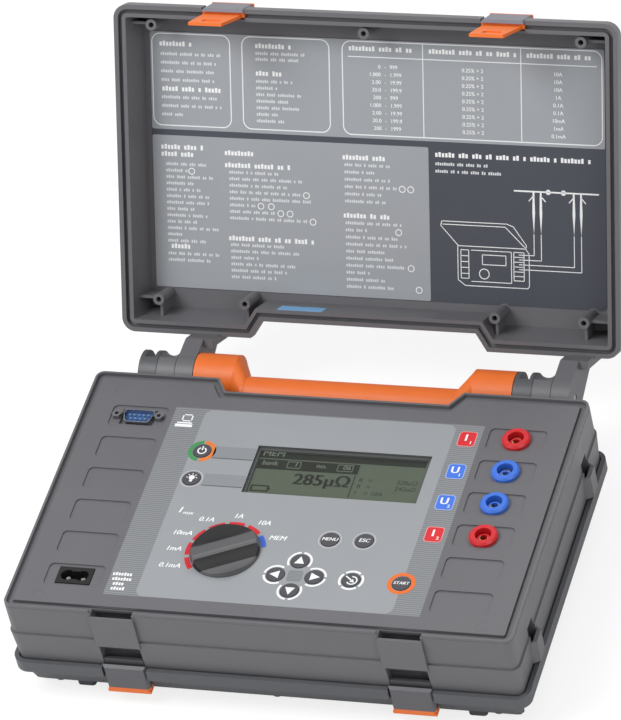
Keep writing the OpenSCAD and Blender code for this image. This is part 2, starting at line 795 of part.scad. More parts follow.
// where the strap loops are set into the shell
module loop_zone(sx, sy) {
    inner_x = sx * (strap_in_x - 2.4);
    outer_x = sx * (case_w / 2 + 2 * over);
    span([min(inner_x, outer_x), sy * strap_y - strap_w / 2 - 2, seam_low - lip_h - over],
        [max(inner_x, outer_x), sy * strap_y + strap_w / 2 + 2, bulge_z + scoop_h + 3]);
}

// whole middle shell: stepped walls with lips, keepers, strap loops, knuckles, ledge, floor and posts
battery_y = 0;
module middle_shell() {
    inner = upper_inset + wall_t;
    difference() {
        union() {
            difference() {
                union() {
                    translate([0, 0, mid_z]) linear_extrude(seam_high - mid_z) outline(upper_inset);
                    difference() {
                        draft_block(seam_low, seam_inset, mid_z + eps, lower_inset);
                        translate([0, 0, seam_low - over]) linear_extrude(mid_z) notch_shape(lower_inset);
                    }
                    ring(bead_inset, bead_inset + bead_t, seam_high - over, lip_h + over);
                    ring(bead_inset + 0.4, bead_inset + bead_t, seam_low - lip_h, lip_h + over);
                }
                translate([0, 0, floor_z + floor_t]) linear_extrude(panel_under - ledge_t - floor_z - floor_t)
                    outline(inner);
                translate([0, 0, panel_under - ledge_t - over]) linear_extrude(ledge_t + 2 * over)
                    outline(panel_inset + ledge_w);
                translate([0, 0, panel_under]) linear_extrude(panel_t) outline(panel_inset - hole_gap);
                translate([0, 0, deck_z]) linear_extrude(panel_t) outline(bead_inset + bead_t);
                translate([0, 0, seam_low - over]) linear_extrude(floor_rise + over) outline(bead_inset + bead_t);
            }
            for (side = [-1, 1]) {
                keeper(side);
                body_knuckle(side);
                for (sy = [-1, 1]) strap_bulge(side, sy);
            }
            for (p = screw_spots) translate([p[0], p[1], floor_z])
                cylinder(h = panel_under - boss_h - floor_z, r = body_post_r);
            for (spot = cover_spots) translate([spot[0], spot[1], floor_z])
                cylinder(h = cover_screw_l + 2, r = cover_post_r);
        }
        for (side = [-1, 1]) {
            keeper_cut(side);
            for (sy = [-1, 1]) strap_cut(side, sy);
        }
        for (p = screw_spots) {
            translate([p[0], p[1], floor_z + floor_t]) cylinder(h = seam_high, r = screw_r + fixed_gap);
            translate([p[0], p[1], panel_under - boss_h]) cylinder(h = boss_h + over, r = boss_r + hole_gap);
        }
        translate([battery_x - battery_w / 2 + cover_ledge, battery_y - battery_d / 2 + cover_ledge, floor_z - over])
            cube([battery_w - 2 * cover_ledge, battery_d - 2 * cover_ledge, floor_t + 2 * over]);
        translate([battery_x, battery_y, floor_z - over]) linear_extrude(over + cover_gap + cover_t)
            soft_rect(battery_w, battery_d + 2 * cover_flange, cover_r);
        for (spot = cover_spots) translate([spot[0], spot[1], floor_z])
            cylinder(h = cover_screw_l, r = screw_r + fixed_gap);
    }
}

// middle case: the shell without the latch housings and strap loops
module body_case() {
    color(shell_colour) difference() {
        middle_shell();
        for (side = [-1, 1]) {
            station_zone(side);
            for (sy = [-1, 1]) loop_zone(side, sy);
        }
    }
}

// two latch housings: front wall, keeper plate and the pocket behind it
module keeper_housings() {
    color(shell_colour) intersection() {
        middle_shell();
        for (side = [-1, 1]) station_zone(side);
    }
}

// four strap loops: bulge, upright passage and scoop
module strap_loops() {
    color(shell_colour) intersection() {
        middle_shell();
        for (side = [-1, 1], sy = [-1, 1]) loop_zone(side, sy);
    }
}

// instrument panel: plate with bays, window seat, key holes, socket holes and board posts
board_x1 = -overlay_half - 10;
board_x2 = overlay_half + 2;
board_y1 = overlay_front + 3.8;
board_y2 = overlay_back - 3.4;
board_edge = 9.5;
board_posts = [[board_x1 + board_edge, board_y2 - board_edge], [board_x2 - board_edge, board_y2 - board_edge],
    [board_x1 + board_edge, board_y1 + board_edge], [board_x2 - board_edge, board_y1 + board_edge]];
d_w = 18.4;
d_h = 9.8;
d_lean = 1.6;
flange_r = 6.4;
module d_shape(w, h) {
    r = 2;
    hull() {
        for (sx = [-1, 1]) {
            translate([sx * (w / 2 - r), h / 2 - r]) circle(r, $fn = round_fn);
            translate([sx * (w / 2 - r - d_lean), r - h / 2]) circle(r, $fn = round_fn);
        }
    }
}

module display_rect(grow) {
    translate([(display_left + display_right) / 2, (display_front + display_back) / 2])
        square([display_right - display_left + 2 * grow, display_back - display_front + 2 * grow], center = true);
}

module inlet_shape(grow) {
    for (sx = [-1, 1]) translate([sx * 4.3, 0]) circle(3.7 + grow);
    square([8.6, 5.8 + 2 * grow], center = true);
}

module control_panel() {
    color(shell_colour) difference() {
        union() {
            translate([0, 0, panel_under]) linear_extrude(panel_t) outline(panel_inset);
            for (p = screw_spots) translate([p[0], p[1], panel_under - boss_h]) cylinder(h = boss_h + eps, r = boss_r);
            for (p = board_posts) translate([p[0], p[1], board_z]) cylinder(h = board_gap + eps, r = 2.8);
        }
        for (sx = [-1, 1], i = [0:5]) translate([sx * bay_x, bay_back_y - i * bay_pitch, bay_z])
            linear_extrude(panel_t) soft_rect(bay_w, bay_h, bay_r);
        translate([0, (overlay_back + overlay_front) / 2, panel_z - overlay_t]) linear_extrude(panel_t)
            square([2 * overlay_half, overlay_back - overlay_front], center = true);
        translate([0, 0, panel_under - over]) linear_extrude(panel_t + 2 * over) display_rect(-window_seat);
        translate([0, 0, panel_z - window_drop - window_t]) linear_extrude(panel_t) display_rect(0);
        for (p = all_keys) translate([p[0], p[1], panel_under - over]) cylinder(h = panel_t + 2 * over, r = key_r + key_gap);
        translate([knob_pos[0], knob_pos[1], panel_under - over]) cylinder(h = panel_t + 2 * over, r = shaft_r + 2);
        for (y = jack_ys) translate([bay_x, y, panel_under - over]) cylinder(h = panel_t + 2 * over, r = jack_body_r + 0.1);
        for (p = screw_spots) {
            translate([p[0], p[1], panel_under - boss_h + screw_head_h]) cylinder(h = panel_t + boss_h, r = plug_hole_r);
            translate([p[0], p[1], panel_under - boss_h - over]) cylinder(h = boss_h, r = screw_r + 0.2);
        }
        translate([-bay_x, db9_y, panel_under - over]) linear_extrude(panel_t + 2 * over) square([20.4, 11.8], center = true);
        for (sx = [-1, 1]) translate([sx * 12.5 - bay_x, db9_y, panel_under - over]) cylinder(h = panel_t + 2 * over, r = 1.7);
        translate([-bay_x, inlet_y, panel_under - over]) linear_extrude(panel_t + 2 * over) square([20.4, 12.4], center = true);
        for (p = board_posts) translate([p[0], p[1], board_z - over]) cylinder(h = 6, r = 1.1);
    }
}

// printed overlay with the openings of the display, the keys and the knob's shaft
module panel_overlay() {
    color([0.68, 0.69, 0.71]) translate([0, 0, panel_z - overlay_t]) linear_extrude(overlay_t) difference() {
        translate([0, (overlay_back + overlay_front) / 2])
            square([2 * overlay_half, overlay_back - overlay_front], center = true);
        display_rect(0);
        for (p = all_keys) translate(p) circle(key_r + key_gap);
        translate(knob_pos) circle(shaft_r + 2);
    }
}

module display_window() {
    color([0.45, 0.48, 0.43]) translate([0, 0, panel_z - window_drop - window_t]) linear_extrude(window_t)
        display_rect(0);
}

module lcd_module() {
    lcd_t = board_gap - board_t;
    color([0.25, 0.27, 0.24]) translate([0, 0, panel_under - lcd_t]) linear_extrude(lcd_t) difference() {
        display_rect(5);
        for (p = all_keys) translate(p) circle(flange_r + 1);
    }
}

module main_board() {
    color([0.1, 0.4, 0.2]) difference() {
        translate([board_x1, board_y1, board_z - board_t]) cube([board_x2 - board_x1, board_y2 - board_y1, board_t]);
        for (p = board_posts) translate([p[0], p[1], board_z - board_t - over]) cylinder(h = board_t + 2 * over, r = 1.2);
        translate([knob_pos[0], knob_pos[1], board_z - board_t - over]) cylinder(h = board_t + 2 * over, r = shaft_r + 1);
    }
}

// one key: cap, flange under the panel and stem
module key_body(p) {
    flange_top = panel_under - hole_gap / 2;
    color([0.28, 0.28, 0.3]) translate([p[0], p[1], 0]) {
        translate([0, 0, flange_top - key_flange]) cylinder(h = panel_z + key_proud - flange_top + key_flange, r = key_r);
        translate([0, 0, flange_top - key_flange]) cylinder(h = key_flange, r = flange_r - 1);
        translate([0, 0, flange_top - key_flange - key_foot]) cylinder(h = key_foot + eps, r = 1.6);
    }
}

module key_power() { key_body(key_spots[0]); }
module key_light() { key_body(key_spots[1]); }
module key_menu() { key_body(key_spots[2]); }
module key_escape() { key_body(key_spots[3]); }
module key_enter() { key_body(key_spots[4]); }
module key_start() { key_body(key_spots[5]); }
module key_up() { key_body(arrow_spots[0]); }
module key_down() { key_body(arrow_spots[1]); }
module key_left() { key_body(arrow_spots[2]); }
module key_right() { key_body(arrow_spots[3]); }

// push switches on the board, one under each key
module key_switches() {
    switch_top = panel_under - hole_gap / 2 - key_flange - key_foot - key_travel - 0.15;
    body_h = switch_top - board_z - 0.9;
    color([0.12, 0.12, 0.13]) for (p = all_keys) translate([p[0], p[1], board_z]) {
        translate([-3, -3, 0]) cube([6, 6, body_h]);
        cylinder(h = switch_top - board_z, r = 1.75);
    }
}

// screws that hold the panel and the plugs over their heads
module panel_screws() {
    head_z = panel_under - boss_h + screw_head_h;
    color([0.75, 0.75, 0.76]) for (p = screw_spots) translate([p[0], p[1], head_z]) difference() {
        union() {
            cylinder(h = screw_head_h, r = screw_head_r);
            translate([0, 0, -screw_l]) cylinder(h = screw_l + eps, r = screw_r);
        }
        translate([-0.5, -2.2, screw_head_h - 0.7]) cube([1, 4.4, 1]);
        translate([-2.2, -0.5, screw_head_h - 0.7]) cube([4.4, 1, 1]);
    }
}

module screw_plugs() {
    color(shell_colour) for (p = screw_spots) translate([p[0], p[1], panel_z - plug_t])
        cylinder(h = plug_t, r = plug_disc_r);
}

// jack with its collar, well and threaded body
module jack(y, tint) {
    collar_edge = 1;
    color(tint) translate([bay_x, y, bay_z]) rotate_extrude() polygon([
        [contact_r + fixed_gap, -jack_body_l], [jack_body_r, -jack_body_l], [jack_body_r, 0], [collar_r, 0],
        [collar_r, collar_h - collar_edge], [collar_r - collar_edge, collar_h], [well_r, collar_h],
        [well_r, -9], [contact_r + fixed_gap, -9]]);
}

module jack_c1() { jack(jack_ys[0], [0.8, 0.13, 0.12]); }
module jack_p1() { jack(jack_ys[1], [0.15, 0.4, 0.8]); }
module jack_p2() { jack(jack_ys[2], [0.15, 0.4, 0.8]); }
module jack_c2() { jack(jack_ys[3], [0.8, 0.13, 0.12]); }

contact_top = 0.2;
module jack_contacts() {
    color([0.8, 0.68, 0.35]) for (y = jack_ys) translate([bay_x, y, bay_z]) difference() {
        translate([0, 0, -jack_body_l - 3]) cylinder(h = jack_body_l + 3 + contact_top, r = contact_r);
        translate([0, 0, contact_top - plug_depth]) cylinder(h = plug_depth + over, r = plug_r);
    }
}

module jack_nuts() {
    nut_h = 4;
    color([0.7, 0.7, 0.72]) for (y = jack_ys) translate([bay_x, y, panel_under - nut_h]) difference() {
        cylinder(h = nut_h, r = nut_r, $fn = 6);
        translate([0, 0, -over]) cylinder(h = nut_h + 2 * over, r = jack_body_r + 0.05);
    }
}

// data connector: metal shell, insulating insert, nine pins and two jackscrews
module db9_shell() {
    color([0.75, 0.76, 0.78]) translate([-bay_x, db9_y, 0]) {
        translate([0, 0, panel_under - 0.8]) linear_extrude(0.8) difference() {
            square([31, 12.5], center = true);
            d_shape(d_w - 1, d_h - 1);
            for (sx = [-1, 1]) translate([sx * 12.5, 0]) circle(1.6);
        }
        translate([0, 0, panel_under - eps]) linear_extrude(panel_t + 0.6) difference() {
            d_shape(d_w, d_h);
            d_shape(d_w - 1, d_h - 1);
        }
    }
}

module db9_insert() {
    color([0.12, 0.25, 0.55]) translate([-bay_x, db9_y, panel_under - 9]) difference() {
        union() {
            linear_extrude(8.2) square([19, 10.6], center = true);
            linear_extrude(10) d_shape(d_w - 1.2, d_h - 1.2);
        }
        for (i = [0:4]) translate([(i - 2) * 2.77, 1.42, -over]) cylinder(h = 12, r = 0.51);
        for (i = [0:3]) translate([(i - 1.5) * 2.77, -1.42, -over]) cylinder(h = 12, r = 0.51);
    }
}

module db9_pins() {
    color([0.82, 0.7, 0.4]) translate([-bay_x, db9_y, panel_under - 11]) {
        for (i = [0:4]) translate([(i - 2) * 2.77, 1.42, 0]) cylinder(h = 13.8, r = 0.5);
        for (i = [0:3]) translate([(i - 1.5) * 2.77, -1.42, 0]) cylinder(h = 13.8, r = 0.5);
    }
}

module db9_jackscrews() {
    color([0.72, 0.72, 0.74]) for (sx = [-1, 1]) translate([sx * 12.5 - bay_x, db9_y, bay_z]) difference() {
        union() {
            cylinder(h = 2.6, r = 2.9, $fn = 6);
            translate([0, 0, -6]) cylinder(h = 6 + eps, r = 1.5);
        }
        translate([0, 0, 0.4]) cylinder(h = 4, r = 1.2);
    }
}

// mains inlet with its figure-of-eight well and two pins
module mains_inlet() {
    inlet_depth = 11;
    color([0.09, 0.09, 0.1]) translate([-bay_x, inlet_y, 0]) difference() {
        union() {
            translate([0, 0, panel_under - inlet_depth]) linear_extrude(inlet_depth + panel_t - bay_depth + 0.6)
                square([20, 12], center = true);
            translate([0, 0, panel_under - 2.2]) linear_extrude(2.2) square([26, 15], center = true);
        }
        translate([0, 0, bay_z - inlet_depth + 2.4]) linear_extrude(inlet_depth + 2) inlet_shape(0);
        for (sx = [-1, 1]) translate([sx * 4.3, 0, panel_under - inlet_depth - over]) cylinder(h = 6, r = 1.21);
    }
}

module inlet_pins() {
    color([0.8, 0.8, 0.82]) for (sx = [-1, 1]) translate([sx * 4.3 - bay_x, inlet_y, panel_under - 14])
        cylinder(h = 14, r = 1.2);
}

// rotary switch under the panel, its shaft and its knob
module rotary_switch() {
    color([0.2, 0.2, 0.22]) translate([knob_pos[0], knob_pos[1], board_z]) difference() {
        cylinder(h = board_gap, r = switch_r);
        translate([0, 0, -over]) cylinder(h = board_gap + 2 * over, r = shaft_r + run_gap);
    }
}

module knob_shaft() {
    color([0.75, 0.75, 0.77]) translate([knob_pos[0], knob_pos[1], board_z - board_t])
        cylinder(h = knob_z + knob_bore - board_z + board_t, r = shaft_r);
}

// low round knob: two long scoops leave a ridge across it
module rotary_knob() {
    scoop_up = knob_floor + scoop_r;
    scoop_y = ridge_w / 2 + sqrt(scoop_r * scoop_r - (scoop_up - knob_h) * (scoop_up - knob_h));
    color([0.16, 0.16, 0.17]) translate([knob_pos[0], knob_pos[1], knob_z]) rotate([0, 0, pointer_angle])
        difference() {
            union() {
                cylinder(h = knob_disc, r = knob_r);
                translate([0, 0, knob_disc - eps])
                    cylinder(h = knob_h - knob_disc + eps, r1 = knob_r - knob_step, r2 = knob_r - 3 * knob_step);
            }
            for (side = [-1, 1]) translate([0, side * scoop_y, scoop_up]) x_rod(-knob_r - over, knob_r + over, scoop_r);
            translate([0, 0, -over]) cylinder(h = knob_bore + over, r = shaft_r + fixed_gap);
        }
}

// battery pack of four cells, its cover in the floor and the cover's screws
module battery_pack() {
    cell_z = floor_z + floor_t + cell_r + 0.2;
    color([0.2, 0.45, 0.3]) for (i = [0, 1], j = [-1, 1])
        translate([battery_x + (i - 1) * cell_l + (2 * i - 1) * 1.5, battery_y + j * (cell_r + 0.15), cell_z])
            x_rod(0, cell_l, cell_r);
}

module battery_cover() {
    color(shell_colour) difference() {
        union() {
            translate([battery_x, battery_y, floor_z + cover_gap]) linear_extrude(cover_t)
                soft_rect(battery_w - 2 * cover_play, battery_d + 2 * cover_flange - 2 * cover_play, cover_r - cover_play);
            for (i = [-2:2]) translate([battery_x + i * cover_rib_pitch, battery_y, 0])
                span([-cover_rib_t / 2, cover_flange - 1 - battery_d / 2, floor_z + cover_gap + cover_t - eps],
                    [cover_rib_t / 2, battery_d / 2 - cover_flange + 1, floor_z + floor_t + cover_gap]);
        }
        for (spot = cover_spots) translate([spot[0], spot[1], floor_z - over])
            cylinder(h = cover_screw_l, r = screw_r + cover_gap);
    }
}

module cover_screws() {
    color([0.75, 0.75, 0.76]) for (spot = cover_spots) translate([spot[0], spot[1], floor_z + cover_gap]) {
        translate([0, 0, -cover_head_h]) cylinder(h = cover_head_h, r = screw_head_r - hole_gap);
        translate([0, 0, -eps]) cylinder(h = cover_screw_l - 2, r = screw_r);
    }
}

body_case();
control_panel();
panel_overlay();
display_window();
lcd_module();
main_board();
key_switches();
panel_screws();
screw_plugs();
battery_pack();
battery_cover();
cover_screws();
jack_c1();
jack_p1();
jack_p2();
jack_c2();
jack_contacts();
jack_nuts();
db9_shell();
db9_insert();
db9_pins();
db9_jackscrews();
mains_inlet();
inlet_pins();
rotary_switch();
hinge_pin_left();
hinge_pin_right();
rotary_knob();
knob_shaft();
key_power();
key_light();
key_menu();
key_escape();
key_enter();
key_start();
key_up();
key_down();
key_left();
key_right();
upper_lid();
keeper_housings();
strap_loops();
lid_label();
lower_lid();
handle();
latch_lever_upper_left();
latch_face_upper_left();
latch_pin_upper_left();
latch_lever_upper_right();
latch_face_upper_right();
latch_pin_upper_right();
latch_lever_lower_left();
latch_face_lower_left();
latch_pin_lower_left();
latch_lever_lower_right();
latch_face_lower_right();
latch_pin_lower_right();
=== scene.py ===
"""Micro ohmmeter in its carrying case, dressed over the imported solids. Lengths are metres."""
import math
import bpy
import numpy as np
from mathutils import Matrix, Vector


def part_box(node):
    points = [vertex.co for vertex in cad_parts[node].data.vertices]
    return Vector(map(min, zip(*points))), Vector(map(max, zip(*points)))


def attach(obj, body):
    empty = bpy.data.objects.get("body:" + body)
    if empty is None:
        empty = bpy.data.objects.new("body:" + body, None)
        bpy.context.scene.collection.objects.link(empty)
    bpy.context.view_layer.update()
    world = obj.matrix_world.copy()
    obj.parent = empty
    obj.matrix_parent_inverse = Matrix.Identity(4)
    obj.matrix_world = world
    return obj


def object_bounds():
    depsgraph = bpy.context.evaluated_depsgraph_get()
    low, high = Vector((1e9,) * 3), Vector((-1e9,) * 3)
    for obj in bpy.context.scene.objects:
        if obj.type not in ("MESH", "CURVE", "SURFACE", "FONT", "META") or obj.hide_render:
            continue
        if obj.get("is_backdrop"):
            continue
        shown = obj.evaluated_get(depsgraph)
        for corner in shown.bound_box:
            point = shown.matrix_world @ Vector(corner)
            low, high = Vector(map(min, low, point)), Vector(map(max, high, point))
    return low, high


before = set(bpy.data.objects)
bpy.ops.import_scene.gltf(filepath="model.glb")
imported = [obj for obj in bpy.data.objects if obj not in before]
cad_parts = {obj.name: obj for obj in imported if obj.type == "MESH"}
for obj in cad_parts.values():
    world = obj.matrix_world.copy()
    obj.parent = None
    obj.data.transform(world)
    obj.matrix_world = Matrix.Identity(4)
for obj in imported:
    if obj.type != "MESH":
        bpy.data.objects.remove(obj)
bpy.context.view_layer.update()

# Camera
# A long lens from the front right, a little rolled, as the photograph was taken.
# The place and turn were fitted to the straight edges of the case.
MM = 0.001
VIEW_AZIMUTH = math.radians(24.863)
VIEW_ELEVATION = math.radians(42.241)
VIEW_ROLL = math.radians(13.913)
VIEW_DISTANCE = 3398.7 * MM
VIEW_TARGET = Vector((-34.95, 135.99, 43.5)) * MM
LENS = 300.0
SENSOR = 36.0
VIEW_END = 50.0

forward = Vector((-math.sin(VIEW_AZIMUTH) * math.cos(VIEW_ELEVATION),
                  math.cos(VIEW_AZIMUTH) * math.cos(VIEW_ELEVATION), -math.sin(VIEW_ELEVATION)))
level_right = Vector((math.cos(VIEW_AZIMUTH), math.sin(VIEW_AZIMUTH), 0))
level_up = level_right.cross(forward)
image_right = math.cos(VIEW_ROLL) * level_right - math.sin(VIEW_ROLL) * level_up
image_up = math.sin(VIEW_ROLL) * level_right + math.cos(VIEW_ROLL) * level_up
lens = bpy.data.cameras.new("photo_lens")
lens.sensor_fit = "VERTICAL"
lens.sensor_height = SENSOR
lens.lens = LENS
lens.clip_end = VIEW_END
camera = bpy.data.objects.new("photo_camera", lens)
bpy.context.collection.objects.link(camera)
turn = Matrix((image_right, image_up, -forward)).transposed()
camera.matrix_world = Matrix.Translation(VIEW_TARGET - forward * VIEW_DISTANCE) @ turn.to_4x4()
bpy.context.scene.camera = camera
bpy.context.scene.view_settings.view_transform = "Standard"


# Table and light
# A pale painted board as the table, in a pale room, with nothing near the object but its own shadow.
# Three large soft lamps, as in a product studio, with the main one high on the left.
TABLE_HALF = 3.0
TABLE_LIFT = 0.72
TABLE_GLOW = 1.1
ROOM_LIGHT = 0.42


def add_node(tree, kind, settings=None, **links):
    """Adds one shader node; settings are attributes, links are input names with a value or an output socket."""
    made = tree.nodes.new("ShaderNode" + kind)
    for key, value in (settings or {}).items():
        setattr(made, key, value)
    for key, value in links.items():
        socket = made.inputs[int(key[1:])] if key[0] == "_" else made.inputs[key.replace("_", " ")]
        if isinstance(value, bpy.types.NodeSocket):
            tree.links.new(value, socket)
        else:
            socket.default_value = value
    return made


def empty_tree(owner):
    """Turns on the nodes of a material or world and gives back its tree, emptied."""
    owner.use_nodes = True
    owner.node_tree.nodes.clear()
    return owner.node_tree


def linear(code):
    """sRGB hex to linear RGBA: c/12.92 in the foot of the curve, ((c+0.055)/1.055)^2.4 above it."""
    c = np.array([int(code[i:i + 2], 16) for i in (1, 3, 5)]) / 255
    c = np.where(c <= 0.04045, c / 12.92, ((c + 0.055) / 1.055) ** 2.4)
    return (*map(float, c), 1.0)


def add_mesh(name, points, faces, material, body):
    """A mesh object from an (n, 3) array of points in metres and a list or array of faces."""
    mesh = bpy.data.meshes.new(name)
    mesh.from_pydata(np.asarray(points, float).tolist(), [], [tuple(map(int, f)) for f in faces])
    mesh.update()
    mesh.materials.append(material)
    piece = bpy.data.objects.new(name, mesh)
    bpy.context.collection.objects.link(piece)
    if body:
        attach(piece, body)
    return piece


# Matt paint. A share of glow, for the camera alone, keeps its shadows soft and pale.
table_paint = bpy.data.materials.new("pale_table_board")
tree = empty_tree(table_paint)
path = add_node(tree, "LightPath")
lift = add_node(tree, "Math", {"operation": "MULTIPLY"}, _0=path.outputs["Is Camera Ray"], _1=TABLE_LIFT)
board = add_node(tree, "BsdfPrincipled", Base_Color=linear("#F4F4F4"), Roughness=0.9)
glow = add_node(tree, "Emission", Color=(1, 1, 1, 1), Strength=TABLE_GLOW)
shade = add_node(tree, "MixShader", _0=lift.outputs[0], _1=board.outputs[0], _2=glow.outputs[0])
add_node(tree, "OutputMaterial", Surface=shade.outputs[0])
corners = np.array([(-1, -1, 0), (1, -1, 0), (1, 1, 0), (-1, 1, 0)]) * TABLE_HALF
table = add_mesh("table_top", corners, [(0, 1, 2, 3)], table_paint, None)
table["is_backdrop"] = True

# The room is white to the eye and through the clear window, and lights the object less than that.
world = bpy.data.worlds.new("pale_room")
bpy.context.scene.world = world
tree = empty_tree(world)
path = add_node(tree, "LightPath")
seen = add_node(tree, "Math", {"operation": "MAXIMUM"}, _0=path.outputs["Is Camera Ray"],
                _1=path.outputs["Is Transmission Ray"])
strength = add_node(tree, "MapRange", _0=seen.outputs[0], _1=0.0, _2=1.0, _3=ROOM_LIGHT, _4=1.0)
room = add_node(tree, "Background", Color=(1, 1, 1, 1), Strength=strength.outputs[0])
add_node(tree, "OutputWorld", Surface=room.outputs[0])


def add_lamp(name, place, aim, size, watts):
    """A square area lamp at a place, turned to a point."""
    light = bpy.data.lights.new(name, "AREA")
    light.size = size
    light.energy = watts
    lamp = bpy.data.objects.new(name, light)
    bpy.context.collection.objects.link(lamp)
    lamp.location = place
    lamp.rotation_euler = (Vector(aim) - Vector(place)).to_track_quat("-Z", "Y").to_euler()


MIDDLE = (0, 0.05, 0.08)
add_lamp("main_lamp", (-0.9, -0.5, 1.8), MIDDLE, size=1.0, watts=26)
add_lamp("fill_lamp", (1.3, -0.8, 1.1), MIDDLE, size=1.2, watts=6)
add_lamp("back_lamp", (0.2, 1.6, 1.3), MIDDLE, size=1.0, watts=12)


# Case mouldings
# Lids, middle case, panel and plugs are moulded in grey ABS, the handle and latch levers in orange.
# The moulds are spark-eroded, which leaves a fine grain and a satin look.
ABS_IOR = 1.53
CLOUD_MM = 35
GRAIN_DEPTH = 0.1
ORANGE = "#F07428"


def moulded_plastic(name, colour, rough=0.45, grain_mm=0.6, grain=0.12, mottle=0.04):
    """Satin moulded plastic: grain and slight clouding from two noises on Object coordinates.

    Real grain is about 0.1 mm wide and would not show in the render, so it is drawn 0.6 mm wide."""
    material = bpy.data.materials.new(name)
    tree = empty_tree(material)
    place = add_node(tree, "TexCoord").outputs["Object"]
    fine = add_node(tree, "TexNoise", Vector=place, Scale=1 / (grain_mm * MM), Detail=2.0)
    cloud = add_node(tree, "TexNoise", Vector=place, Scale=1 / (CLOUD_MM * MM), Detail=3.0)
    base = linear(colour)
    dark = tuple(c * (1 - mottle) for c in base[:3]) + (1.0,)
    pale = tuple(min(1.0, c * (1 + mottle)) for c in base[:3]) + (1.0,)
    tint = add_node(tree, "Mix", {"data_type": "RGBA"}, _0=cloud.outputs[0], _6=dark, _7=pale)
    gloss = add_node(tree, "MapRange", _0=cloud.outputs[0], _1=0.3, _2=0.7, _3=rough - 0.04, _4=rough + 0.05)
    bump = add_node(tree, "Bump", Strength=grain, Distance=GRAIN_DEPTH * MM, Height=fine.outputs[0])
    skin = add_node(tree, "BsdfPrincipled", Base_Color=tint.outputs[2], Roughness=gloss.outputs[0],
                    Normal=bump.outputs[0], IOR=ABS_IOR)
    add_node(tree, "OutputMaterial", Surface=skin.outputs[0])
    return material


def wear(material, *nodes):
    """Gives CAD nodes a material."""
    for name in nodes:
        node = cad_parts[name]
        node.data.materials.clear()
        node.data.materials.append(material)


# Grey ABS, satin: the grain breaks up each highlight, so wide walls look soft and even.
wear(moulded_plastic("grey_abs_case", "#68676B"), "body_case", "keeper_housings", "strap_loops",
     "control_panel", "screw_plugs", "upper_lid", "battery_cover")
# The tray lid is coloured a shade darker grey than the case, which parts it from the case above it.
wear(moulded_plastic("dark_grey_abs_tray", "#55575B"), "lower_lid")
# Orange ABS, a little more matt than the grey, so its strong colour stays even.
wear(moulded_plastic("orange_abs_fittings", ORANGE, rough=0.5), "handle", "latch_lever_upper_left",
     "latch_lever_upper_right")
# The cover plates' ABS has a cool cast and looks bluish beside the case.
wear(moulded_plastic("blue_grey_abs_latch", "#76757F"), "latch_face_upper_left", "latch_face_upper_right")


# Lower latches
# Grey cover plates over orange levers, of which only the strip at the foot shows.
# Above that strip the levers are painted dark grey, as painted shade for the shade they stand in behind the
# plates.
LEVER_STRIP_TOP = 12.6
PLATE_STRIP_TOP = 12.8
UPRIGHT = (0, 0, 1)


def zoned_plastic(name, colours, borders, axis, rough=0.45, soft_mm=0.05):
    """Moulded plastic in flat zones along an axis: a chain of steps, each from one colour to the next.

    The measure is the axis times the place, in mm, and a zone begins where it passes the next border."""
    material = moulded_plastic(name, colours[0], rough=rough)
    tree = material.node_tree
    skin = tree.nodes["Principled BSDF"]
    base = skin.inputs["Base Color"].links[0].from_socket
    place = add_node(tree, "TexCoord").outputs["Object"]
    along = add_node(tree, "VectorMath", {"operation": "DOT_PRODUCT"}, _0=place, _1=tuple(c / MM for c in axis))
    for border, colour in zip(borders, colours[1:]):
        step = add_node(tree, "MapRange", _0=along.outputs["Value"], _1=border - soft_mm, _2=border + soft_mm,
                        _3=0.0, _4=1.0)
        mix = add_node(tree, "Mix", {"data_type": "RGBA"}, _0=step.outputs[0], _6=base, _7=linear(colour))
        base = mix.outputs[2]
    tree.links.new(base, skin.inputs["Base Color"])
    return material


# The levers' dark grey above the strip is painted shade, not a colour of the levers.
wear(zoned_plastic("orange_lever_painted_shade", [ORANGE, "#4A4A4E"], [LEVER_STRIP_TOP], UPRIGHT),
     "latch_lever_lower_left", "latch_lever_lower_right")
wear(zoned_plastic("orange_and_grey_face", [ORANGE, "#5C5C61"], [PLATE_STRIP_TOP], UPRIGHT),
     "latch_face_lower_left", "latch_face_lower_right")


# Panel overlay
# A reverse-printed polycarbonate film glued in the panel's recess.
# Its sides are screened with fine lines and its middle is one light grey area.
PANEL_TOP = 69.0
PRINT_T = 0.05
STRIKE_T = 0.02
CAPITAL_SHARE = 0.7
LINE_PITCH = 1.5
LINE_BLUR = 0.3
STRIPES = ("#75777B", "#8F9296")
LIGHT = (-72.0, -77.7, 74.3, 66.6)
LIGHT_CORNER = 5.0
DISPLAY = (-34.2, 5.1, 66.3, 41.5)
DISPLAY_CORNER = 0.2
KEYS = {"power": (-65.4, 34.3), "light": (-65.3, 12.7), "menu": (25.7, -26.2), "escape": (45.1, -25.4),
        "enter": (45.5, -55.0), "start": (73.8, -54.8), "up": (13.4, -43.75), "down": (13.4, -65.65),
        "left": (2.45, -54.7), "right": (24.35, -54.7)}
KEY_HOLE = 5.36
KNOB = (-30.4, -40.6)
SHAFT_HOLE = 5.1


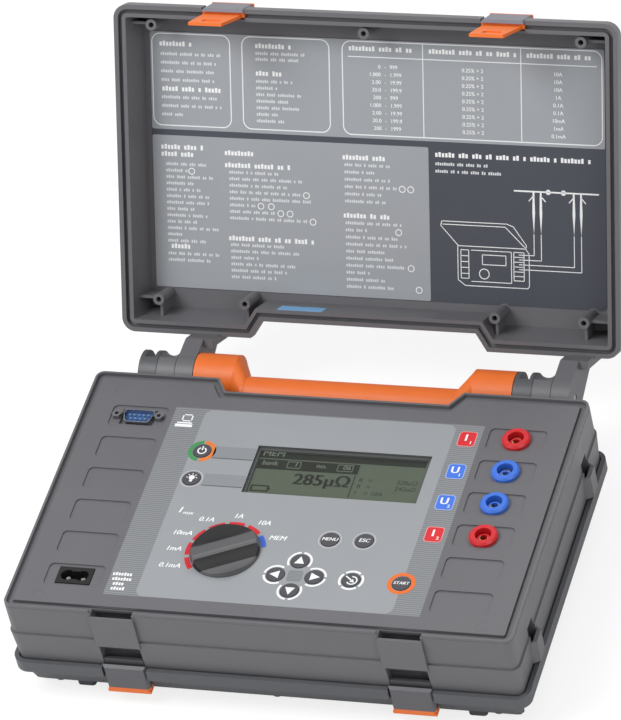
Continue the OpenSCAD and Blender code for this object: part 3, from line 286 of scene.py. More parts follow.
def lined_print(name, dark, pale, pitch_mm):
    """Printed film with fine lines across Y: a sine of Y decides between two inks."""
    material = bpy.data.materials.new(name)
    tree = empty_tree(material)
    place = add_node(tree, "TexCoord").outputs["Object"]
    parts = add_node(tree, "SeparateXYZ", Vector=place)
    phase = add_node(tree, "Math", {"operation": "MULTIPLY"}, _0=parts.outputs["Y"],
                     _1=2 * math.pi / (pitch_mm * MM))
    wave = add_node(tree, "Math", {"operation": "SINE"}, _0=phase.outputs[0])
    edge = add_node(tree, "MapRange", _0=wave.outputs[0], _1=-LINE_BLUR, _2=LINE_BLUR, _3=0.0, _4=1.0)
    tint = add_node(tree, "Mix", {"data_type": "RGBA"}, _0=edge.outputs[0], _6=linear(dark), _7=linear(pale))
    film = add_node(tree, "BsdfPrincipled", Base_Color=tint.outputs[2], Roughness=0.38, IOR=1.58)
    add_node(tree, "OutputMaterial", Surface=film.outputs[0])
    return material


def ink(name, colour, rough=0.4):
    """Screen-printed ink: nearly flat, with a faint unevenness of its layer."""
    return moulded_plastic(name, colour, rough=rough, grain_mm=0.8, grain=0.02, mottle=0.02)


def slabs(outlines, layer=0.0, thick=PRINT_T):
    """Prisms of a thickness over closed 2D outlines: (points, faces) with lid, floor and sides, in mm."""
    points, faces = [], []
    for outline in outlines:
        outline = np.asarray(outline, float)
        n, base = len(outline), sum(map(len, points))
        x, y = outline.T
        if np.sum(x * np.roll(y, -1) - np.roll(x, -1) * y) < 0:
            outline = outline[::-1]
        points += [np.c_[outline, np.full(n, layer)], np.c_[outline, np.full(n, layer + thick)]]
        low, high = np.arange(n) + base, np.arange(n) + base + n
        faces += [low[::-1], high]
        faces += list(np.c_[low, np.roll(low, -1), np.roll(high, -1), high])
    return np.concatenate(points), faces


def soft_box(x1, y1, x2, y2, r, steps=8):
    """Rectangle as a closed outline, anticlockwise, with a quarter circle at each corner."""
    corners = [(x2 - r, y2 - r, 0), (x1 + r, y2 - r, 1), (x1 + r, y1 + r, 2), (x2 - r, y1 + r, 3)]
    outline = []
    for cx, cy, quarter in corners:
        turn = np.linspace(0, math.pi / 2, steps) + quarter * math.pi / 2
        outline.append(np.c_[cx + r * np.cos(turn), cy + r * np.sin(turn)])
    return np.concatenate(outline)


def arc_band(cx, cy, r1, r2, start, end, steps=24):
    """Sector of a ring between two radii and two angles in degrees."""
    turn = np.radians(np.linspace(start, end, steps))
    unit = np.c_[np.cos(turn), np.sin(turn)]
    return np.concatenate([unit * r2, unit[::-1] * r1]) + (cx, cy)


def full_ring(cx, cy, r1, r2, steps=40):
    """Whole ring as two half bands."""
    return [arc_band(cx, cy, r1, r2, 0, 180, steps), arc_band(cx, cy, r1, r2, 180, 360, steps)]


def disc(cx, cy, r, steps=48):
    """Circle as a closed outline."""
    turn = np.linspace(0, 2 * math.pi, steps, endpoint=False)
    return np.c_[cx + r * np.cos(turn), cy + r * np.sin(turn)]


def stroke(points, width):
    """Open line of a width: the points shifted to both sides along the mean normal."""
    points = np.asarray(points, float)
    run = np.gradient(points, axis=0)
    side = np.c_[-run[:, 1], run[:, 0]] / np.linalg.norm(run, axis=1)[:, None] * width / 2
    return np.concatenate([points + side, (points - side)[::-1]])


def on_panel(points):
    """Overlay x and y as they are, layers counted up from the panel's face."""
    return (points + (0, 0, PANEL_TOP)) * MM


def add_print(name, outlines, material, place, layer=0.0, thick=PRINT_T, body="case"):
    """A printed layer: slabs over outlines, put into the row frame by place and riding on a body."""
    points, faces = slabs(outlines, layer, thick)
    return add_mesh(name, place(points), faces, material, body)


def add_words(name, words, material, place, layer, body="case", lean=0.0, bold=0.0):
    """Lettering as one mesh. Each word is (text, x, y, capital height in mm, "LEFT", "CENTER" or "RIGHT").

    A bold word is struck three times, a share of its height to either side of its place, each on a layer
    of its own, because faces in one plane would shade each other."""
    points, faces, count = [], [], 0
    strikes = [(-bold, 0.0), (0.0, STRIKE_T), (bold, 2 * STRIKE_T)] if bold else [(0.0, 0.0)]
    struck = [(text, x + shift * height, y, height, side, lift)
              for text, x, y, height, side in words for shift, lift in strikes]
    for text, x, y, height, side, lift in struck:
        curve = bpy.data.curves.new("word", "FONT")
        curve.body = text
        curve.size = height / CAPITAL_SHARE
        curve.align_x = side
        curve.align_y = "CENTER"
        curve.shear = lean
        curve.resolution_u = 3
        word = bpy.data.objects.new("word", curve)
        bpy.context.collection.objects.link(word)
        bpy.context.view_layer.update()
        mesh = bpy.data.meshes.new_from_object(word.evaluated_get(bpy.context.evaluated_depsgraph_get()))
        flat = np.empty(len(mesh.vertices) * 3)
        mesh.vertices.foreach_get("co", flat)
        points.append(flat.reshape(-1, 3) + (x, y, layer + PRINT_T + lift))
        faces += [tuple(count + i for i in p.vertices) for p in mesh.polygons]
        count += len(mesh.vertices)
        bpy.data.objects.remove(word)
        bpy.data.curves.remove(curve)
        bpy.data.meshes.remove(mesh)
    return add_mesh(name, place(np.concatenate(points)), faces, material, body)


def cut_out(sheet, outlines):
    """Cuts openings through a printed sheet: prisms over the outlines, well past both of its faces."""
    points, faces = slabs(outlines, layer=-1, thick=2)
    mesh = bpy.data.meshes.new("cutter")
    mesh.from_pydata(on_panel(points).tolist(), [], [tuple(map(int, f)) for f in faces])
    cutter = bpy.data.objects.new("cutter", mesh)
    bpy.context.collection.objects.link(cutter)
    cut = sheet.modifiers.new("openings", "BOOLEAN")
    cut.object = cutter
    cut.solver = "EXACT"
    bpy.context.view_layer.update()
    pierced = bpy.data.meshes.new_from_object(sheet.evaluated_get(bpy.context.evaluated_depsgraph_get()))
    sheet.modifiers.clear()
    sheet.data = pierced
    bpy.data.objects.remove(cutter)


# Polycarbonate film, printed from behind: the lines lie under a smooth skin and look sharp but not raised.
wear(lined_print("lined_overlay_film", *STRIPES, LINE_PITCH), "panel_overlay")
# Screen inks lie flat and dull, so that each reads as one even colour with a crisp edge.
light_ink = ink("light_grey_ink", "#999CA0", rough=0.42)
white_ink = ink("white_ink", "#F4F5F6")
light_area = add_print("light_overlay_area", [soft_box(*LIGHT, LIGHT_CORNER)], light_ink, on_panel)
cut_out(light_area, [disc(*spot, KEY_HOLE) for spot in KEYS.values()]
        + [disc(*KNOB, SHAFT_HOLE), soft_box(*DISPLAY, DISPLAY_CORNER)])

BAR_X = (-58.5, -34.6)
BAR_Y = (34.2, 12.9)
BAR_WIDTH = 9.0
EDGE_WIDTH = 0.5
EDGE_DROP = 4.6
bars = [stroke([(x, y) for x in BAR_X], BAR_WIDTH) for y in BAR_Y]
add_print("grey_bars", bars, ink("bar_grey_ink", "#8B8E92"), on_panel, PRINT_T)
edges = [stroke([(x, y - EDGE_DROP) for x in BAR_X], EDGE_WIDTH) for y in BAR_Y]
add_print("bar_edges", edges, ink("bar_edge_ink", "#55575F"), on_panel, 2 * PRINT_T)

COMPUTER = np.array((-82.6, 56.6))
# Each line of the sign: its two ends, from the sign's middle, and its width.
COMPUTER_LINES = [((-1.6, 0.3), (4.6, 0.3), 0.8), ((-1.6, 5.0), (4.6, 5.0), 0.8),
                  ((-1.2, 0.0), (-1.2, 5.3), 0.8), ((4.2, 0.0), (4.2, 5.3), 0.8),
                  ((-3.6, -1.3), (5.2, -1.3), 1.0), ((-4.4, -3.4), (5.8, -3.4), 2.2)]
computer_sign = [stroke([COMPUTER + start, COMPUTER + end], width) for start, end, width in COMPUTER_LINES]
add_print("computer_sign", computer_sign, white_ink, on_panel, PRINT_T)


def word_bars(rows, tall):
    """Print too small to read: each row (x, y, width) becomes blocks as wide as letters, in words whose
    length follows the sine of the word's number. Every third block is taller, as stems are.

    All lengths are shares of the letters' height: a block 0.62 wide, 0.85 from one to the next, 0.9 more
    between words, and 0.72 from the line's middle to the top of a stem."""
    block, pitch, gap, stem = (share * tall for share in (0.62, 0.85, 0.9, 0.72))
    outlines = []
    for x, y, width in rows:
        at, word, letter = x, 0, 0
        while at < x + width:
            low, top = y - tall / 2, y + (stem if letter % 3 == 1 else tall / 2)
            outlines.append([(at, low), (at + block, low), (at + block, top), (at, top)])
            letter += 1
            at += pitch
            if letter % (4 + round(2.5 + 2.5 * math.sin(2.1 * word + y))) == 0:
                at += gap
                word += 1
    return outlines


SUPPLY_ROWS = [(-88.6, -62.6, 11.0), (-88.0, -66.2, 11.0), (-86.6, -69.8, 6.0), (-86.8, -73.4, 8.0)]
SUPPLY_TALL = 1.9
add_print("supply_lines", word_bars(SUPPLY_ROWS, SUPPLY_TALL), white_ink, on_panel, PRINT_T)


# Display
# A liquid crystal panel under a clear acrylic window set into the overlay.
# Dark bands with pale words stand at its top, and the reading is in large dark digits.
WINDOW_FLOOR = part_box("lcd_module")[1][2] / MM
DISPLAY_W = DISPLAY[2] - DISPLAY[0]
DISPLAY_D = DISPLAY[3] - DISPLAY[1]
SMUDGE_MM = 18
LCD_LEFT = 1.2
LCD_BACK = 2.6
# The crystal lies below the window, so what the camera sees of it is further left and further back.
LCD_X = DISPLAY[0] - LCD_LEFT
LCD_Y = DISPLAY[1] + LCD_BACK


def clear_sheet(name):
    """Clear acrylic without refraction: see-through, with a gloss that grows at grazing angles.

    The share of gloss is Fresnel's on the outer faces alone, because seen from inside it would be total."""
    material = bpy.data.materials.new(name)
    tree = empty_tree(material)
    place = add_node(tree, "TexCoord").outputs["Object"]
    smudge = add_node(tree, "TexNoise", Vector=place, Scale=1 / (SMUDGE_MM * MM), Detail=2.0)
    haze = add_node(tree, "MapRange", _0=smudge.outputs[0], _1=0.3, _2=0.7, _3=0.08, _4=0.2)
    facing = add_node(tree, "Fresnel", IOR=1.49)
    inside = add_node(tree, "NewGeometry").outputs["Backfacing"]
    outer = add_node(tree, "Math", {"operation": "SUBTRACT"}, _0=1.0, _1=inside)
    share = add_node(tree, "Math", {"operation": "MULTIPLY"}, _0=facing.outputs[0], _1=outer.outputs[0])
    gloss = add_node(tree, "BsdfAnisotropic", Color=(1, 1, 1, 1), Roughness=haze.outputs[0])
    through = add_node(tree, "BsdfTransparent", Color=linear("#F1F4F1"))
    sheet = add_node(tree, "MixShader", _0=share.outputs[0], _1=through.outputs[0], _2=gloss.outputs[0])
    add_node(tree, "OutputMaterial", Surface=sheet.outputs[0])
    return material


def on_lcd(points):
    """Display x and y as shares of its width from the left and of its depth from the back."""
    flat = np.c_[LCD_X + points[:, 0] * DISPLAY_W, LCD_Y + (1 - points[:, 1]) * DISPLAY_D, points[:, 2]]
    return (flat + (0, 0, WINDOW_FLOOR)) * MM


def lcd_box(u1, t1, u2, t2):
    """Rectangle in display shares."""
    return [(u1, t1), (u1, t2), (u2, t2), (u2, t1)]


def on_lcd_words(points):
    """Words on the display are laid out in millimetres from its lower left corner."""
    return (points + (LCD_X, LCD_Y, WINDOW_FLOOR)) * MM


# Cast acrylic: what lies under it stays clear, under a faint gloss that a few smudges dull.
wear(clear_sheet("clear_acrylic"), "display_window")
# The unlit crystal is a smooth grey-green field, with its cells dark on it or left pale in a dark band.
wear(moulded_plastic("grey_green_lcd", "#6E7468", rough=0.3, grain=0.0, mottle=0.03), "lcd_module")
# This dark ink is also the painted shadow of the recess wall along the display's back and left edges.
crystal_dark_and_shadow = ink("dark_crystal_and_painted_shadow", "#262A25", rough=0.3)
crystal_pale = ink("pale_crystal", "#8E9488", rough=0.3)
# Dark areas in display shares: back edge and left edge, where the crystal's dark border carries painted shadow
# from the recess wall, then the wide band, short band and the upright rule.
DARK_AREAS = [(0.0, -0.1, 1.0, 0.01), (0.0, 0.0, 0.012, 1.06), (0.025, 0.05, 0.985, 0.245),
              (0.03, 0.27, 0.615, 0.475), (0.604, 0.5, 0.61, 0.96)]
add_print("lcd_bands_and_painted_shadow", [lcd_box(*area) for area in DARK_AREAS], crystal_dark_and_shadow, on_lcd)
# Two frames round numbers: their sides and ends in display shares, with lines about 0.4 mm wide.
FRAME_SIDES = ((0.2, 0.28), (0.49, 0.58))
FRAME_ENDS = (0.29, 0.42)
SIDE_LINE = 0.004
END_LINE = 0.012
frames = []
for u1, u2 in FRAME_SIDES:
    frames += [lcd_box(u1, t, u2, t + END_LINE) for t in FRAME_ENDS]
    frames += [lcd_box(u, FRAME_ENDS[0], u + SIDE_LINE, FRAME_ENDS[1] + END_LINE) for u in (u1, u2 - SIDE_LINE)]
add_print("lcd_frames", frames, crystal_pale, on_lcd, PRINT_T)
# The battery sign in display shares: both long sides, both ends and the nose.
BATTERY_SIDES = [(0.045, 0.82, 0.14, 0.845), (0.045, 0.93, 0.14, 0.955), (0.04, 0.82, 0.05, 0.955),
                 (0.135, 0.82, 0.145, 0.955), (0.145, 0.865, 0.152, 0.91)]
add_print("lcd_battery", [lcd_box(*side) for side in BATTERY_SIDES], crystal_dark_and_shadow, on_lcd)
bank_words = [("MEM", 4.0, 31.0, 4.4, "LEFT"), ("bank", 5.5, 23.6, 3.4, "LEFT"),
              ("1", 26.5, 23.4, 3.2, "RIGHT"), ("no.", 37.0, 23.6, 3.4, "LEFT"),
              ("06", 57.0, 23.4, 3.2, "RIGHT")]
add_words("lcd_bank", bank_words, crystal_pale, on_lcd_words, 2 * PRINT_T, lean=0.1, bold=0.03)
reading = [("285\u00b5\u03a9", 59.5, 12.4, 8.2, "RIGHT")]
add_words("lcd_reading", reading, crystal_dark_and_shadow, on_lcd_words, 0.0, bold=0.05)
VALUE_TALL = 3.0
VALUE_Y = (15.0, 10.2, 5.2)
VALUE_COLUMNS = [(63.5, "LEFT", ("R", "R", "I")), (69.0, "LEFT", ("=", "=", "= 10A")),
                 (97.5, "RIGHT", ("328\u00b5\u03a9", "242\u00b5\u03a9"))]
values = [(text, x, y, VALUE_TALL, side)
          for x, side, column in VALUE_COLUMNS for text, y in zip(column, VALUE_Y)]
add_words("lcd_values", values, crystal_dark_and_shadow, on_lcd_words, 0.0, lean=0.1)


# Range scale and knob
# Six red segments and one blue one, printed round the knob, with their values in white.
# The knob is black nylon with a dull skin, painted grey in bands as painted sheen.
SCALE_R = (19.9, 22.7)
FIRST_ANGLE = 27.0
STEP_ANGLE = 30.3
HALF_SEGMENT = 12.2
angles = [FIRST_ANGLE + STEP_ANGLE * i for i in range(7)]
segments = [arc_band(*KNOB, *SCALE_R, a - HALF_SEGMENT, a + HALF_SEGMENT) for a in angles]
add_print("range_segments", segments[1:], ink("red_ink", "#D01F2C"), on_panel, PRINT_T)
add_print("memory_segment", segments[:1], ink("blue_ink", "#3567D6"), on_panel, PRINT_T)
RANGE_TALL = 3.3
RANGES = [("0.1mA", -52.6, -53.4, "RIGHT"), ("1mA", -55.6, -40.7, "RIGHT"), ("10mA", -52.9, -28.6, "RIGHT"),
          ("0.1A", -43.4, -17.4, "RIGHT"), ("1A", -30.4, -13.4, "CENTER"), ("10A", -18.6, -17.2, "LEFT"),
          ("MEM", -8.8, -27.8, "LEFT")]
range_words = [(text, x, y, RANGE_TALL, side) for text, x, y, side in RANGES]
range_words += [("I", -64.8, -11.6, 4.4, "CENTER"), ("max", -62.8, -13.4, 2.5, "LEFT")]
add_words("range_values", range_words, white_ink, on_panel, PRINT_T, lean=0.25, bold=0.045)
# Painted sheen: the black nylon is painted grey in bands beside the pointer's ridge, where light would catch
# it, and stays black between them.
KNOB_PAINTED_SHEEN = ["#5E5E60", "#1E1E20", "#6A696B", "#5A5A5C", "#1E1E20"]
KNOB_BORDERS = (-11.5, -4.5, -2.0, 6.5)
POINTER = math.radians(FIRST_ANGLE)
across = (-math.sin(POINTER), math.cos(POINTER), 0)
middle = across[0] * KNOB[0] + across[1] * KNOB[1]
borders = [middle + border for border in KNOB_BORDERS]
wear(zoned_plastic("black_nylon_knob_painted_sheen", KNOB_PAINTED_SHEEN, borders, across, rough=0.38), "rotary_knob")


# Keys
# Ten short-travel keys with dark printed caps, just above the overlay.
# Each cap has a white sign, and a ring is printed round its hole.
KEY_TOP = 69.4
RINGS = {"thin": (6.1, 6.5), "start": (5.6, 7.9), "power": (5.6, 8.0), "enter": (5.9, 7.2), "arrow": (5.9, 7.1)}
ENTER_GAP = 6
ARROW_GAP = 7
ARROW_REACH = 122
FACINGS = {"right": 0, "up": 90, "left": 180, "down": 270}
MIDDLE_HALF = 4.2
MIDDLE_CORNER = 1.6
MIDDLE_PITCH = 1.0
ARROW_SIZE = 3.4
BULB_Y = 0.6
# Caps of dark grey ABS, printed and lacquered, with a dull sheen that keeps the white signs readable.
wear(moulded_plastic("dark_grey_caps", "#4B4B50", rough=0.45), *(f"key_{name}" for name in KEYS))


def on_key(points):
    """Signs lie on the caps."""
    return (points + (0, 0, KEY_TOP)) * MM


def arrow(cx, cy, facing, size):
    """Solid triangle pointing at an angle in degrees, its back corners 125 degrees round on either side."""
    turn = np.radians([facing, facing + 125, facing + 235])
    return np.c_[cx + size * np.cos(turn), cy + size * np.sin(turn)]


thin_rings = sum([full_ring(*KEYS[name], *RINGS["thin"]) for name in ("light", "menu", "escape")], [])
add_print("thin_key_rings", thin_rings, ink("ring_grey_ink", "#C9CBCE"), on_panel, PRINT_T)
start_ring = full_ring(*KEYS["start"], *RINGS["start"])
add_print("start_ring", start_ring, ink("orange_ink", "#EA6F22"), on_panel, PRINT_T)
green_half = arc_band(*KEYS["power"], *RINGS["power"], 95, 262, 48)
add_print("power_ring_green", [green_half], ink("green_ink", "#3F9455"), on_panel, PRINT_T)
orange_half = arc_band(*KEYS["power"], *RINGS["power"], -90, 87, 48)
add_print("power_ring_orange", [orange_half], ink("orange_ring_ink", "#E87A2E"), on_panel, PRINT_T)
enter_ring = [arc_band(*KEYS["enter"], *RINGS["enter"], a + ENTER_GAP, a + 90 - ENTER_GAP, 20)
              for a in (45, 135, 225, 315)]
add_print("enter_ring", enter_ring, white_ink, on_panel, PRINT_T)
arrow_ring = []
for name, facing in FACINGS.items():
    for start, end in ((facing - ARROW_REACH, facing - ARROW_GAP), (facing + ARROW_GAP, facing + ARROW_REACH)):
        arrow_ring.append(arc_band(*KEYS[name], *RINGS["arrow"], start, end, 30))
add_print("arrow_ring", arrow_ring, white_ink, on_panel, PRINT_T)
mid_x, mid_y = KEYS["up"][0], KEYS["left"][1]
arrow_middle = soft_box(mid_x - MIDDLE_HALF, mid_y - MIDDLE_HALF, mid_x + MIDDLE_HALF, mid_y + MIDDLE_HALF,
                        MIDDLE_CORNER)
add_print("arrow_middle", [arrow_middle], lined_print("lined_key_middle", *STRIPES, MIDDLE_PITCH), on_panel,
          PRINT_T)

# The signs' outlines are in mm from the middle of their caps.
signs = {name: [arrow(0, 0, facing, ARROW_SIZE)] for name, facing in FACINGS.items()}
signs["power"] = [arc_band(0, 0, 1.9, 2.7, 120, 420, 30), stroke([(0, 0.4), (0, 3.4)], 0.8)]
signs["light"] = [disc(0, BULB_Y, 1.7, 24), soft_box(-0.8, -2.6, 0.8, -0.9, 0.2)]
signs["light"] += [stroke([(r * math.cos(a), BULB_Y + r * math.sin(a)) for r in (2.2, 3.2)], 0.5)
                   for a in np.radians([0, 45, 90, 135, 180])]
signs["enter"] = [arc_band(0.6, -0.4, 2.4, 3.2, -150, 100, 30), arrow(0.9, -0.9, -40, 1.6),
                  stroke([(-3.4, 2.6), (0.4, -0.4)], 0.8)]
for name, outlines in signs.items():
    placed = [outline + KEYS[name] for outline in outlines]
    add_print(f"{name}_sign", placed, white_ink, on_key, body=f"key_{name}_body")
for name, word, height in (("menu", "MENU", 2.3), ("escape", "ESC", 2.6), ("start", "START", 2.1)):
    add_words(f"{name}_word", [(word, *KEYS[name], height, "CENTER")], white_ink, on_key, 0.0,
              body=f"key_{name}_body", lean=0.15, bold=0.045)


# Measuring jacks
# Four shrouded 4 mm jacks in red and blue nylon with plated contact tubes.
# A badge beside each names its lead with a letter and a number.
JACK_COLOURS = {"red": "#D3222A", "blue": "#3C74DD"}
JACKS = {"jack_c1": ("red", "I", "1", 56.4), "jack_p1": ("blue", "U", "1", 31.3),
         "jack_p2": ("blue", "U", "2", 7.4), "jack_c2": ("red", "I", "2", -17.0)}
JACK_X = 110.1
SLEEVE_R = (2.7, 3.7)
SLEEVE_Z = (59.2, 68.5)
BADGE_X, BADGE_W, BADGE_D = 82.4, 9.3, 10.6
BADGE_CORNER = 1.8
BADGE_BORDER = 0.5


def badge(y, margin=0.0):
    """A badge's rounded box beside the jack at this y, let out by a margin all round."""
    half_w, half_d = BADGE_W / 2 + margin, BADGE_D / 2 + margin
    return soft_box(BADGE_X - half_w, y - half_d, BADGE_X + half_w, y + half_d, BADGE_CORNER + margin)


# Glossy nylon: smooth and strongly coloured, with a clear highlight round each collar.
nylon = {tint: moulded_plastic(f"{tint}_nylon", code, rough=0.3, grain=0.03)
         for tint, code in JACK_COLOURS.items()}
badge_ink = {"red": ink("red_badge_ink", "#DC1F2C"), "blue": ink("blue_badge_ink", "#3F76E4")}
border_ink = {"red": ink("pink_border_ink", "#E7A09C"), "blue": ink("pale_blue_border_ink", "#A9BFEA")}
for node, (tint, letter, number, y) in JACKS.items():
    wear(nylon[tint], node)
    add_print(f"{node}_border", [badge(y, BADGE_BORDER)], border_ink[tint], on_panel, PRINT_T)
    add_print(f"{node}_badge", [badge(y)], badge_ink[tint], on_panel, 2 * PRINT_T)
    words = [(letter, BADGE_X - 0.6, y + 0.7, 5.0, "CENTER"), (number, BADGE_X + 2.6, y - 2.9, 2.3, "CENTER")]
    add_words(f"{node}_letter", words, white_ink, on_panel, 3 * PRINT_T, bold=0.05)


def metal(name, colour, rough, streak_mm=4.0):
    """Plated or turned metal: roughness and tint vary with a noise drawn out five times along X."""
    material = bpy.data.materials.new(name)
    tree = empty_tree(material)
    place = add_node(tree, "TexCoord").outputs["Object"]
    drawn = add_node(tree, "Mapping", Vector=place, Scale=(0.2, 1.0, 1.0))
    streaks = add_node(tree, "TexNoise", Vector=drawn.outputs[0], Scale=1 / (streak_mm * MM), Detail=3.0)
    base = linear(colour)
    dark = tuple(c * 0.85 for c in base[:3]) + (1.0,)
    tint = add_node(tree, "Mix", {"data_type": "RGBA"}, _0=streaks.outputs[0], _6=dark, _7=base)
    gloss = add_node(tree, "MapRange", _0=streaks.outputs[0], _1=0.3, _2=0.7, _3=rough - 0.06, _4=rough + 0.08)
    skin = add_node(tree, "BsdfPrincipled", Base_Color=tint.outputs[2], Metallic=1.0,
                    Roughness=gloss.outputs[0])
    add_node(tree, "OutputMaterial", Surface=skin.outputs[0])
    return material


def tube(cx, cy, r1, r2, low, high, steps=32):
    """Closed tube about an upright axis: rings of points at both radii and both heights, in mm."""
    turn = np.linspace(0, 2 * math.pi, steps, endpoint=False)
    rings = [np.c_[cx + r * np.cos(turn), cy + r * np.sin(turn), np.full(steps, z)]
             for r, z in ((r1, low), (r2, low), (r2, high), (r1, high))]
    at, faces = np.arange(steps), []
    for ring in range(4):
        a, b = at + ring * steps, at + (ring + 1) % 4 * steps
        faces += list(np.c_[a, np.roll(a, -1), np.roll(b, -1), b])
    return np.concatenate(rings), faces


for node, (tint, _, _, y) in JACKS.items():
    points, faces = tube(JACK_X, y, *SLEEVE_R, *SLEEVE_Z)
    add_mesh(f"{node}_sleeve", points * MM, faces, nylon[tint], "case")
# Thin gold plate gives the brass tubes a warm glint down the bores; nickel on the turned nuts is cooler.
wear(metal("plated_brass", "#C9B07A", 0.3), "jack_contacts")
wear(metal("nickel_plated_nuts", "#BDBCB8", 0.32), "jack_nuts")


# Data and mains sockets
# A nine-way socket in a tinned shell with a blue insert, and a two-pin mains inlet in black nylon.
# They sit in the left column of bays, at its two ends.

# Tinned sheet is soft and grey, zinc on the hexagons duller, and the drawn pins are bright points.
wear(metal("tinned_shell", "#A9ABB0", 0.4), "db9_shell")
wear(metal("zinc_plated_hexagons", "#9A9B9F", 0.42), "db9_jackscrews")
wear(metal("bright_pins", "#E4E2DC", 0.25), "db9_pins", "inlet_pins")
# Moulded nylon, smooth and nearly without grain: deep colours that set off the pins.
wear(moulded_plastic("blue_insert_nylon", "#2F5F9E", rough=0.4, grain=0.05), "db9_insert")
wear(moulded_plastic("black_inlet_nylon", "#1E1E20", rough=0.35, grain=0.05), "mains_inlet")


# Screws, pins and inner parts
# Steel pins and screws, the circuit board with its switch, and the wrapped battery cells.
# Most of them show only when the covers are off.

# Drawn and turned steel, bright with faint streaks.
wear(metal("bright_steel", "#B4B5B8", 0.3), "hinge_pin_left", "hinge_pin_right", "knob_shaft", "panel_screws",
     "cover_screws", "latch_pin_upper_left", "latch_pin_upper_right", "latch_pin_lower_left",
     "latch_pin_lower_right")
# Solder mask and shrink film are smooth and glossy, the moulded switch bodies matt.
wear(moulded_plastic("green_circuit_board", "#2C6B45", rough=0.35, grain=0.05, mottle=0.12), "main_board")
wear(moulded_plastic("black_switch_bodies", "#242426", rough=0.5), "key_switches", "rotary_switch")
wear(moulded_plastic("green_cell_wrap", "#3C7F52", rough=0.28, grain=0.02, mottle=0.06), "battery_pack")


# Lid card
# A printed card glued to the upper lid's floor: boxes of print, a table of ranges and a wiring drawing.
# Its print is kept to lines, plain numbers and blocks that can't be read.
LID_TURN = -math.radians(120.4)
HINGE_Y, HINGE_Z = 113.7, 47.5
RIM_Y = 94.8
LID_RIM_Z = 67.5
LID_DEPTH = 21.6
CARD_T = 0.3
CARD_FACE = LID_RIM_Z + LID_DEPTH - CARD_T


def open_lid(x, y, z):
    """Places given for the shut lid, turned about the hinge line by the lid's angle."""
    y, z = y - HINGE_Y, z - HINGE_Z
    c, s = math.cos(LID_TURN), math.sin(LID_TURN)
    return np.c_[x, HINGE_Y + c * y - s * z, HINGE_Z + s * y + c * z] * MM


def on_card(points):
    """Card x and height above the lid's lower rim, layers counted from the card's face."""
    return open_lid(points[:, 0], RIM_Y - points[:, 1], CARD_FACE - points[:, 2])


def add_card_print(name, outlines, material, layer=0.0):
    """A printed layer on the lid's card."""
    return add_print(name, outlines, material, on_card, layer, body="upper_lid_body")


def frame_lines(x1, y1, x2, y2, r, width):
    """Outline of a rounded box as a closed band of a width: four corner arcs and four straight strokes."""
    half = width / 2
    corners = [(x2 - r, y2 - r, 0), (x1 + r, y2 - r, 90), (x1 + r, y1 + r, 180), (x2 - r, y1 + r, 270)]
    bands = [arc_band(cx, cy, r - half, r + half, turn, turn + 90, 10) for cx, cy, turn in corners]
    bands += [stroke([(x1 + r, y), (x2 - r, y)], width) for y in (y1, y2)]
    bands += [stroke([(x, y1 + r), (x, y2 - r)], width) for x in (x1, x2)]
    return bands


# Offset print under a matt varnish: slate and light grey fields without a highlight.
card_dark = ink("card_slate_ink", "#484B55", rough=0.45)
card_light = ink("card_light_ink", "#9FA3A8", rough=0.45)
pale_ink = ink("pale_print_ink", "#D9DCDF")
wear(card_dark, "lid_label")
GROUND_CORNER = 1.0
BOX_CORNER = 5.0
BOX_LINE = 0.6
RULE_LINE = 0.5
add_card_print("card_boxes_ground", [soft_box(-133.8, 114.4, 133.8, 170.8, GROUND_CORNER)], card_light)
add_card_print("card_text_ground", [soft_box(-133.8, 22.2, 30.8, 110.9, GROUND_CORNER)], card_light)
BOXES = [(-132.6, 116.7, -85.9, 169.8), (-78.6, 116.7, -26.8, 169.8), (-19.0, 116.3, 132.4, 169.8)]
RULES = [[(28.4, 116.3), (28.4, 169.8)], [(85.6, 116.3), (85.6, 169.8)], [(-15.7, 161.0), (129.4, 161.0)]]
boxes = sum([frame_lines(*box, BOX_CORNER, BOX_LINE) for box in BOXES], [])
boxes += [stroke(rule, RULE_LINE) for rule in RULES]
add_card_print("card_frames", boxes, white_ink, PRINT_T)

# Headings as rows (x, y, width), and small print in columns (x, top, pitch, widths), where 0 is an empty row.
HEADING_TALL = 2.3
SMALL_TALL = 1.5
HEADINGS = [(-128.0, 163.8, 18.0), (-127.0, 137.8, 37.0), (-70.6, 164.6, 20.0), (-70.6, 148.8, 16.0),
            (-15.0, 165.6, 39.0), (32.0, 165.6, 50.0), (89.0, 165.6, 38.0), (-128.6, 104.0, 25.0),
            (-128.6, 99.9, 19.0), (-90.4, 102.0, 16.0), (-90.4, 95.0, 39.0), (-89.0, 52.5, 50.0),
            (-20.0, 102.8, 25.0), (-20.0, 69.2, 28.0), (-124.0, 46.2, 10.0), (34.8, 106.8, 92.0)]
COLUMNS = [(-127.5, 158.0, 5.0, [35, 34, 31, 32, 0, 33, 36, 12]),
           (-70.6, 160.4, 3.4, [29, 25]),
           (-70.6, 144.3, 3.8, [21, 12, 26, 19, 26, 14, 16]),
           (-126.0, 94.2, 3.73, [24, 14, 28, 16, 20, 27, 25, 16, 24, 18, 30, 10, 24, 0, 30, 25]),
           (-88.0, 91.0, 3.8, [31, 43, 34, 42, 48, 15, 27, 46]),
           (-88.0, 48.8, 3.75, [31, 40, 16, 40, 33, 27]),
           (-19.0, 98.6, 4.2, [28, 18, 26, 30, 22, 24]),
           (-19.0, 65.0, 4.1, [33, 12, 30, 36, 24, 28, 35, 14, 24, 28]),
           (34.8, 101.6, 4.2, [30, 40])]
small_rows = [(x, top - pitch * i, width) for x, top, pitch, widths in COLUMNS
              for i, width in enumerate(widths) if width]
add_card_print("card_headings", word_bars(HEADINGS, HEADING_TALL), white_ink, PRINT_T)
add_card_print("card_small_print", word_bars(small_rows, SMALL_TALL), pale_ink, PRINT_T)
RING_SIGN_R = (1.5, 2.0)
